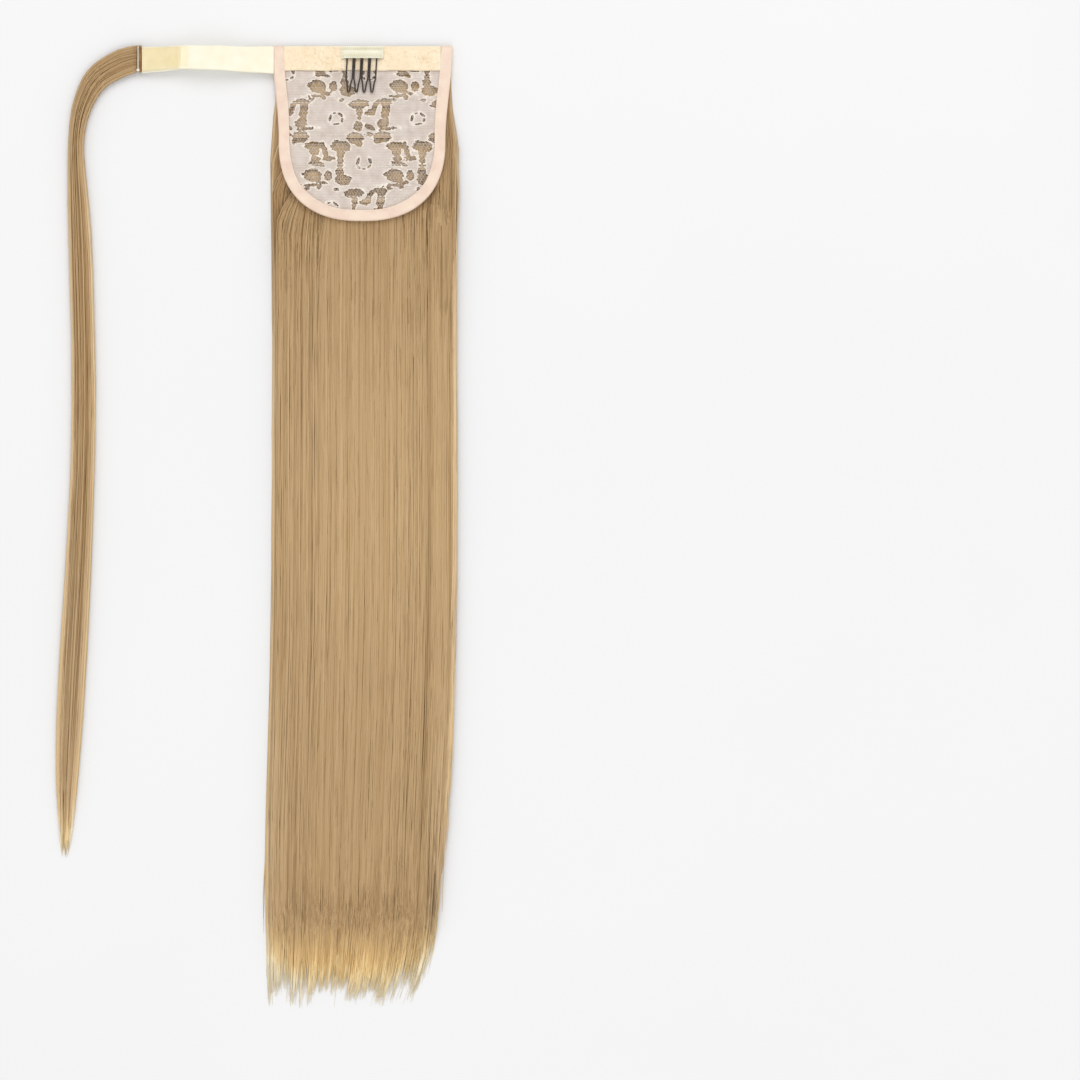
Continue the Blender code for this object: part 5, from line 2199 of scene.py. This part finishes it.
@dataclass
class Strap:
    """The smooth tape from the base's side, arched off the surface, and its hook patch."""

    form: SolidForm = field(init=False)
    tuck: float = 1.4 * MM
    width: float = 20 * MM
    arch: float = 1.03
    patch: tuple[float, float] = (30.5 * MM, 19 * MM)
    edge_at: tuple[float, ...] = (-0.0922, -0.0738, -0.0618, -0.0378, -0.0138, 0.0119)
    edge_sag: tuple[float, ...] = (0.0014, 0.0002, -0.0009, -0.0004, 0.0005, 0.0022)

    def __post_init__(self) -> None:
        """Reads the strap's solid."""
        self.form = SolidForm("wrap_strap", 0, 1, 2)

    def build(self, finish: Material, base_side: float) -> None:
        """Makes the strap.

        Args:
            finish: The tape's material.
            base_side: Where the base's left edge lies.
        """
        form = self.form
        columns, rows = 26, 130
        x = np.linspace(base_side + self.tuck, form.at[0], rows)[:, None]
        share = np.linspace(0, 1, columns)[None]
        near, far = form.side(x)
        slack = 0.22 * MM * np.sin(x * 88.0) + 0.12 * MM * np.sin(x * 210.0 + 1.0)
        low, high = form.heights(x, far + (near - far) * share)
        sag = np.interp(x, self.edge_at, self.edge_sag)
        y = far + slack - 0.4 * MM - (far - near + sag - 0.4 * MM) * share
        edge = np.minimum(share, 1 - share) * self.width
        rounded = 0.30 * MM * (1 - ease(edge / (0.7 * MM)))
        selvedge = 0.10 * MM * np.exp(-(((edge - 1.4 * MM) / (0.5 * MM)) ** 2))
        cup = 0.35 * MM * (np.abs(share - 0.5) * 2) ** 2 * ease((x - form.at[0]) / (50 * MM))
        soft = 0.10 * MM * np.sin(x * 130.0 + share * 3.0)
        under = low + soft + cup + 0.05 * MM
        top = grid_points(x, y, high - rounded + selvedge + soft + cup)
        bottom = grid_points(x, y, under)
        builder = MeshBuilder()
        builder.add_slab(top, bottom)
        piece = builder.place("strap_tape", finish, "strap_tape", ("wrap_strap",))

    def patch_place(self, along: Array, across: Array, lift: Array) -> Array:
        """Points on the hook patch.

        Args:
            along: Share of its length, from the strap's end.
            across: Share of its width.
            lift: Height over the strap.

        Returns:
            The points.
        """
        low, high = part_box("hook_patch")
        x = low[0] + (high[0] - low[0]) * along
        y = low[1] + (high[1] - low[1]) * across
        y = y - 0.7 * MM * (1 - along) + 1.2 * MM * along * (1 - across)
        slope = (high[2] - low[2] - 1.55 * MM) / (high[0] - low[0])
        z = low[2] + slope * (x - low[0]) + lift
        return grid_points(x, y, z)

    def build_patch(self, finish: Material) -> None:
        """Makes the hook patch's woven ground.

        Args:
            finish: The patch's material.
        """
        columns, rows = 40, 60
        along = np.linspace(1, 0, rows)[:, None]
        across = np.linspace(1, 0, columns)[None]
        edge = np.minimum(np.minimum(along, 1 - along) * 30, np.minimum(across, 1 - across) * 19)
        rounded = 0.35 * MM * (1 - ease(edge / 0.8))
        draw = np.random.default_rng(21)
        rough = draw.normal(0, 0.05 * MM, edge.shape)
        rows_raised = 0.12 * MM * np.sin(along * 2 * np.pi * 20)
        top = self.patch_place(along, across, 1.0 * MM - rounded + rough + rows_raised)
        bottom = self.patch_place(along, across, np.full_like(edge, 0.05 * MM))
        builder = MeshBuilder()
        builder.add_slab(top, bottom)
        piece = builder.place("hook_tape", finish, "hook_tape", ("hook_patch",))

    def build_fold(self, finish: Material) -> None:
        """Makes the strap's folded end beside the patch.

        Args:
            finish: The fold's material.
        """
        start, end = -60.6 * MM, -54.2 * MM
        across = np.linspace(0.01, 0.97, 24)[None]
        x = np.linspace(end, start, 14)[:, None] + 0.3 * MM * np.sin(across * 9.0)
        near, far = self.form.side(x)
        y = far - 0.4 * MM - (far - near - 1.0 * MM) * across
        _, high = self.form.heights(x, y)
        edge = np.minimum(x - start, end - x)
        z = high + 0.30 * MM * ease((edge + 0.5 * MM) / (0.9 * MM))
        top = np.stack([x, y, z], -1)
        bottom = np.stack([x, y, high - 0.2 * MM], -1)
        builder = MeshBuilder()
        builder.add_slab(top, bottom)
        builder.place("strap_fold", finish, "strap_tape")

    def build_hooks(self, finish: Material) -> None:
        """Makes one bent hook and sets rows of its copies on the patch.

        Args:
            finish: The patch's material.
        """
        deselect_all()
        bpy.ops.mesh.primitive_circle_add(vertices=4, radius=0.09 * MM, fill_type="NGON")
        hook = bpy.context.object
        bpy.ops.object.mode_set(mode="EDIT")
        bpy.ops.mesh.extrude_region_move(TRANSFORM_OT_translate={"value": (0, 0, 0.45 * MM)})
        bpy.ops.mesh.spin(
            steps=5, angle=math.radians(200), center=(0.28 * MM, 0, 0.45 * MM), axis=(0, 1, 0)
        )
        bpy.ops.mesh.select_all(action="SELECT")
        bpy.ops.mesh.remove_doubles(threshold=0.00001)
        bpy.ops.mesh.quads_convert_to_tris()
        bpy.ops.mesh.normals_make_consistent(inside=False)
        bpy.ops.object.mode_set(mode="OBJECT")
        points, faces = take_mesh(hook)
        draw = np.random.default_rng(22)
        along, across = np.meshgrid(np.linspace(0.04, 0.96, 21), np.linspace(0.06, 0.94, 13))
        along = along.ravel() + draw.normal(0, 0.004, along.size)
        across = across.ravel() + draw.normal(0, 0.006, across.size)
        origins = self.patch_place(along, across, np.full_like(along, 0.9 * MM))
        turn = draw.normal(0, 0.5, len(along)) + np.where(draw.random(len(along)) < 0.5, np.pi, 0)
        flat = np.zeros_like(turn)
        x_axes = np.stack([np.cos(turn), np.sin(turn), flat], -1)
        y_axes = np.stack([-np.sin(turn), np.cos(turn), flat], -1)
        builder = MeshBuilder()
        builder.add_copies(points, faces, origins, x_axes, y_axes)
        builder.place("hooks", finish, "hook_tape")

    def build_stitches(self, finish: Material) -> None:
        """Makes the patch's stitches: its outline and the seam beside it.

        Args:
            finish: The thread's material.
        """
        builder = MeshBuilder()
        needle = Stitcher(1.7 * MM, 0.17 * MM)
        up = np.array((0.0, 0.0, 1.0))
        steps = np.linspace(0.05, 0.88, 9)
        for along in (0.045, 0.955, 1.06, 1.26):
            starts = self.patch_place(np.full(9, along), steps, np.full(9, 1.12 * MM))
            ends = self.patch_place(np.full(9, along), steps + 0.085, np.full(9, 1.12 * MM))
            if along > 1:
                for side in (starts, ends):
                    _, high = self.form.heights(side[:, 0], side[:, 1])
                    side[:, 2] = high + 0.05 * MM
            needle.sew(builder, starts, ends, up)
        steps = np.linspace(0.04, 0.88, 13)
        for across in (0.04, 0.96):
            starts = self.patch_place(steps, np.full(13, across), np.full(13, 1.02 * MM))
            ends = self.patch_place(steps + 0.055, np.full(13, across), np.full(13, 1.02 * MM))
            needle.sew(builder, starts, ends, up)
        builder.place("strap_stitches", finish, "strap_tape")


@dataclass
class Track:
    """A hair track: fibres folded over a seam, locked by a zigzag thread."""

    number: int
    plane: BasePlane
    drop: float
    height: float = 4.5 * MM
    thickness: float = 1.4 * MM

    def build(self, hair: Material, thread: Material) -> None:
        """Makes the track and its threads.

        Args:
            hair: The track's material.
            thread: The thread's material.
        """
        low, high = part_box(f"weft_{self.number}")
        half = (high[0] - low[0]) / 2
        middle = (high[0] + low[0]) / 2 - self.plane.origin[0]
        top = -0.3 * MM - (1.3 * MM if self.number == 1 else 0.0)
        columns = int(half * 2 / (1.1 * MM))
        x = np.linspace(-half, half, columns * 2 + 1)[None] + middle
        ridge = 0.14 * MM * np.abs(np.sin(np.arange(columns * 2 + 1) * np.pi / 2))[None]
        share = np.linspace(0, 1, 9)[:, None]
        y = -self.drop - self.height * share
        thick = self.thickness * (0.30 + 0.70 * np.sin(np.clip(share * 2.2 + 0.35, 0, math.pi)))
        thick = np.clip(thick, self.thickness * 0.55, self.thickness) - 0.15 * MM
        upper = self.plane.place(x, y, top - 0.05 * MM)
        under = self.plane.place(x, y, top - thick + ridge)
        builder = MeshBuilder()
        draw = np.random.default_rng(60 + self.number)
        places = np.empty((9, columns * 2 + 1, 2))
        # Painted light: the tracks are lighter than the hair, against the shade under the lace where
        # they show through.
        places[..., 0] = draw.uniform(0.55, 0.92, columns * 2 + 1)[None]
        places[..., 1] = np.linspace(0, 0.6, 9)[:, None]
        builder.add_slab(upper, under, places)
        name = f"track_{self.number}"
        builder.place(name, hair, "weft", (f"weft_{self.number}",))
        step = 1.5 * MM
        zig = np.arange(-half + 1 * MM, half - 1 * MM, step) + middle
        swing = np.where(np.arange(len(zig)) % 2, 0.32, 0.62)
        side = self.plane.place(zig, -self.drop - self.height * swing, top - self.thickness + 0.02 * MM)
        builder = MeshBuilder()
        builder.add_tubes(side[None], 0.18 * MM, 5)
        name = f"track_thread_{self.number}"
        builder.place(name, thread, "weft")


@dataclass
class StrandSeam:
    """The wrap strand's sewn end: folded hair, white lockstitch, a knot and loose ends."""

    def build(self, hair: Material, thread: Material) -> None:
        """Makes the sewn end.

        Args:
            hair: The track's material.
            thread: The thread's material.
        """
        low, high = (np.array(corner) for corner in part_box("strand_weft"))
        middle = (low + high) / 2
        draw = np.random.default_rng(33)
        columns, rows = 44, 9
        y = np.linspace(high[1] - 0.2 * MM, low[1] + 0.2 * MM, columns)[None]
        share = np.linspace(0, 1, rows)[:, None]
        x = high[0] - (high[0] - low[0]) * share
        bulge = (high[2] - low[2]) / 2 * (0.55 + 0.45 * np.sin(np.clip(share * 3.6, 0, math.pi)))
        ridge = draw.uniform(-0.12, 0.05, columns)[None] * MM
        top = grid_points(x, y, middle[2] + bulge + ridge)
        bottom = grid_points(x, y, middle[2] - bulge - ridge)
        places = np.empty((rows, columns, 2))
        places[..., 0] = draw.uniform(0.0, 0.30, columns)[None]
        places[..., 1] = np.linspace(0, 0.5, rows)[:, None]
        builder = MeshBuilder()
        builder.add_slab(top, bottom, places)
        builder.place("strand_seam", hair, "weft", ("strand_weft",))

        builder = MeshBuilder()
        needle = Stitcher(2.0 * MM, 0.42 * MM)
        x_line = low[0] + 0.9 * MM
        spots = np.arange(low[1] + 0.8 * MM, high[1] - 2.0 * MM, 1.65 * MM)
        height = high[2] + 0.12 * MM
        flat = np.full_like(spots, height)
        starts = np.stack([np.full_like(spots, x_line - 0.15 * MM), spots, flat], -1)
        ends = np.stack([np.full_like(spots, x_line + 0.15 * MM), spots + 1.8 * MM, flat], -1)
        needle.sew(builder, starts, ends, np.array((0.0, 0.0, 1.0)))
        turn = np.linspace(0, 4 * math.pi, 26)
        knot = np.stack(
            [
                x_line + 0.75 * MM * np.cos(turn) + 0.2 * MM * np.sin(turn * 1.5),
                low[1] + 1.6 * MM + 0.85 * MM * np.sin(turn),
                height + 0.25 * MM + 0.25 * MM * np.sin(turn * 1.7),
            ],
            -1,
        )
        builder.add_tubes(knot[None], 0.40 * MM, 6)
        ends = []
        for lean in (-0.5, 0.25):
            reach = np.linspace(0, 1, 26)
            ends.append(
                np.stack(
                    [
                        x_line + lean * 4 * MM * reach**1.5,
                        low[1] + 1.4 * MM - 4.5 * MM * reach,
                        height * (1 - reach) + 0.8 * MM * reach + 0.4 * MM * np.sin(reach * 3),
                    ],
                    -1,
                )
            )
        builder.add_tubes(np.array(ends), 0.13 * MM, 5)
        builder.place("strand_thread", thread, "weft")


# Light, floor and camera


@dataclass
class Studio:
    """Pale floor, even soft light from the top of the picture, and a camera straight above."""

    centre: tuple[float, float] = (0.2263, -0.0138)
    field_of_view: float = 0.864
    distance: float = 3.0
    sensor: float = 36.0
    world_light: float = 0.80

    def build(self) -> None:
        """Makes the floor, the lights and the camera."""
        deselect_all()
        bpy.ops.mesh.primitive_plane_add(size=12, location=(0, 0, -0.0002))
        floor = bpy.context.object
        floor.name = "floor"
        bpy.ops.object.transform_apply(location=True, rotation=True, scale=True)
        floor.data.materials.append(FloorFinish().build())
        self.area("key", (0.15, 2.3, 2.7), 2.2, 34.0)
        self.area("fill", (0.4, -2.0, 2.6), 2.4, 16.0)
        world = bpy.data.worlds.new("studio")
        bpy.context.scene.world = world
        world.use_nodes = True
        glow = world.node_tree.nodes["Background"].inputs
        glow["Color"].default_value = (1, 1, 1, 1)
        glow["Strength"].default_value = self.world_light
        view = bpy.context.scene.view_settings
        view.view_transform = "Standard"
        view.look = "None"
        deselect_all()
        bpy.ops.object.camera_add(location=(*self.centre, self.distance), rotation=(0, 0, 0))
        camera = bpy.context.object
        camera.data.sensor_width = self.sensor
        camera.data.lens = self.sensor * self.distance / self.field_of_view
        camera.data.clip_end = 30
        bpy.context.scene.camera = camera

    @staticmethod
    def area(name: str, place: tuple[float, float, float], size: float, power: float) -> None:
        """Adds a soft square light that faces the piece.

        Args:
            name: The light's name.
            place: Where it hangs.
            size: Its side.
            power: Its power in watts.
        """
        bpy.ops.object.light_add(type="AREA", location=place)
        light = bpy.context.object
        light.name = name
        light.data.size = size
        light.data.energy = power
        aim = Vector((0.0, 0.0, 0.0)) - Vector(place)
        light.rotation_euler = aim.to_track_quat("-Z", "Y").to_euler()


FAN_SHARES = (
    0.0, 0.011, 0.022, 0.034, 0.048, 0.064, 0.081, 0.10, 0.125, 0.165, 0.235, 0.33, 0.45, 0.58,
    0.71, 0.83, 0.91, 0.96, 1.0,
)
LONG_SHARES = (0.0, 0.02, 0.05, 0.10, 0.17, 0.27, 0.39, 0.52, 0.65, 0.77, 0.87, 0.93, 0.97, 1.0)


def main() -> None:
    """Builds every sub-assembly in order."""
    logging.basicConfig(level=logging.INFO, format="%(message)s")
    Studio().build()
    plane = BasePlane()
    outline = BaseOutline()
    hair = HairFinish("hair", HAIR_TONES, HAIR_TIPS).build()
    track_hair = HairFinish("track_hair", HAIR_TONES, HAIR_TONES, roughness=0.5).build()
    lace = LaceFinish().build()
    thread = ClothFinish(
        "thread", srgb(250, 247, 238), srgb(228, 222, 208), 0.3 * MM, sheen=0.05
    ).build()
    peach = ClothFinish(
        "binding", srgb(243, 223, 203), srgb(226, 196, 179), 0.45 * MM, 0.7, 0.1, 0.25
    ).build()
    band = ClothFinish(
        "loop_tape", srgb(251, 235, 206), srgb(240, 217, 182), 0.6 * MM, 0.9, 0.2, 0.5, Weave.PILE
    ).build()
    knit = ClothFinish(
        "knit_tape", srgb(250, 246, 226), srgb(236, 230, 203), 0.7 * MM, weave=Weave.KNIT
    ).build()
    zigzag = ClothFinish(
        "zigzag", srgb(226, 218, 182), srgb(206, 196, 150), 0.3 * MM, sheen=0.05
    ).build()
    strap_finish = ClothFinish(
        "strap_tape", srgb(250, 246, 226), srgb(244, 234, 205), 0.4 * MM, 0.7, 0.1, 0.3
    ).build()
    fold = ClothFinish(
        "strap_fold", srgb(250, 242, 210), srgb(243, 229, 188), 0.4 * MM, 0.7, 0.1, 0.3
    ).build()
    hook = ClothFinish(
        "hook_tape", srgb(254, 241, 200), srgb(244, 223, 168), 0.7 * MM, 0.85, 0.1, 0.8
    ).build()

    stack = HairStack(outline)
    HairRow(stack, 0, 1450, LONG_SHARES, edge_share=0.66, fan_shade=0.5).build(hair)
    HairRow(stack, 1, 560, FAN_SHARES, edge_share=0.74, fan_shade=1.0).build(hair)
    HairRow(stack, 2, 560, FAN_SHARES, edge_share=0.70, fan_shade=0.8, bundle=0.3).build(hair)
    HairRow(stack, 3, 1200, FAN_SHARES, edge_share=0.80, bundle=0.45, gap_shade_share=0.3).build(hair)
    HairRow(stack, 4, 1950, LONG_SHARES, bundle=0.1, gap_shade_share=0.14).build(hair)
    WrapStrand().build(hair)

    lace_maker = Lace(plane, outline)
    lace_maker.build(lace)
    lace_maker.build_net(lace)
    drops = [17.5 * MM + 26.0 * MM * row for row in range(5)]
    Seams(plane, outline, tuple(drops[1:])).build(thread)
    binding = Binding(plane, outline)
    binding.build(peach)
    binding.build_stitches(thread)
    top_band = TopBand(plane, outline)
    top_band.build(band)
    top_band.build_pile(band)
    Comb(plane).build(CoatedWireFinish().build())
    cover = CombCover(plane)
    cover.build(knit)
    cover.build_zigzags(zigzag)
    strap = Strap()
    strap.build(strap_finish, float(plane.origin[0]) - outline.half)
    strap.build_fold(fold)
    strap.build_patch(hook)
    strap.build_hooks(hook)
    strap.build_stitches(thread)
    for number, drop in enumerate(drops, start=1):
        Track(number, plane, drop).build(track_hair, thread)
    StrandSeam().build(track_hair, thread)


if __name__ == "__main__":
    main()
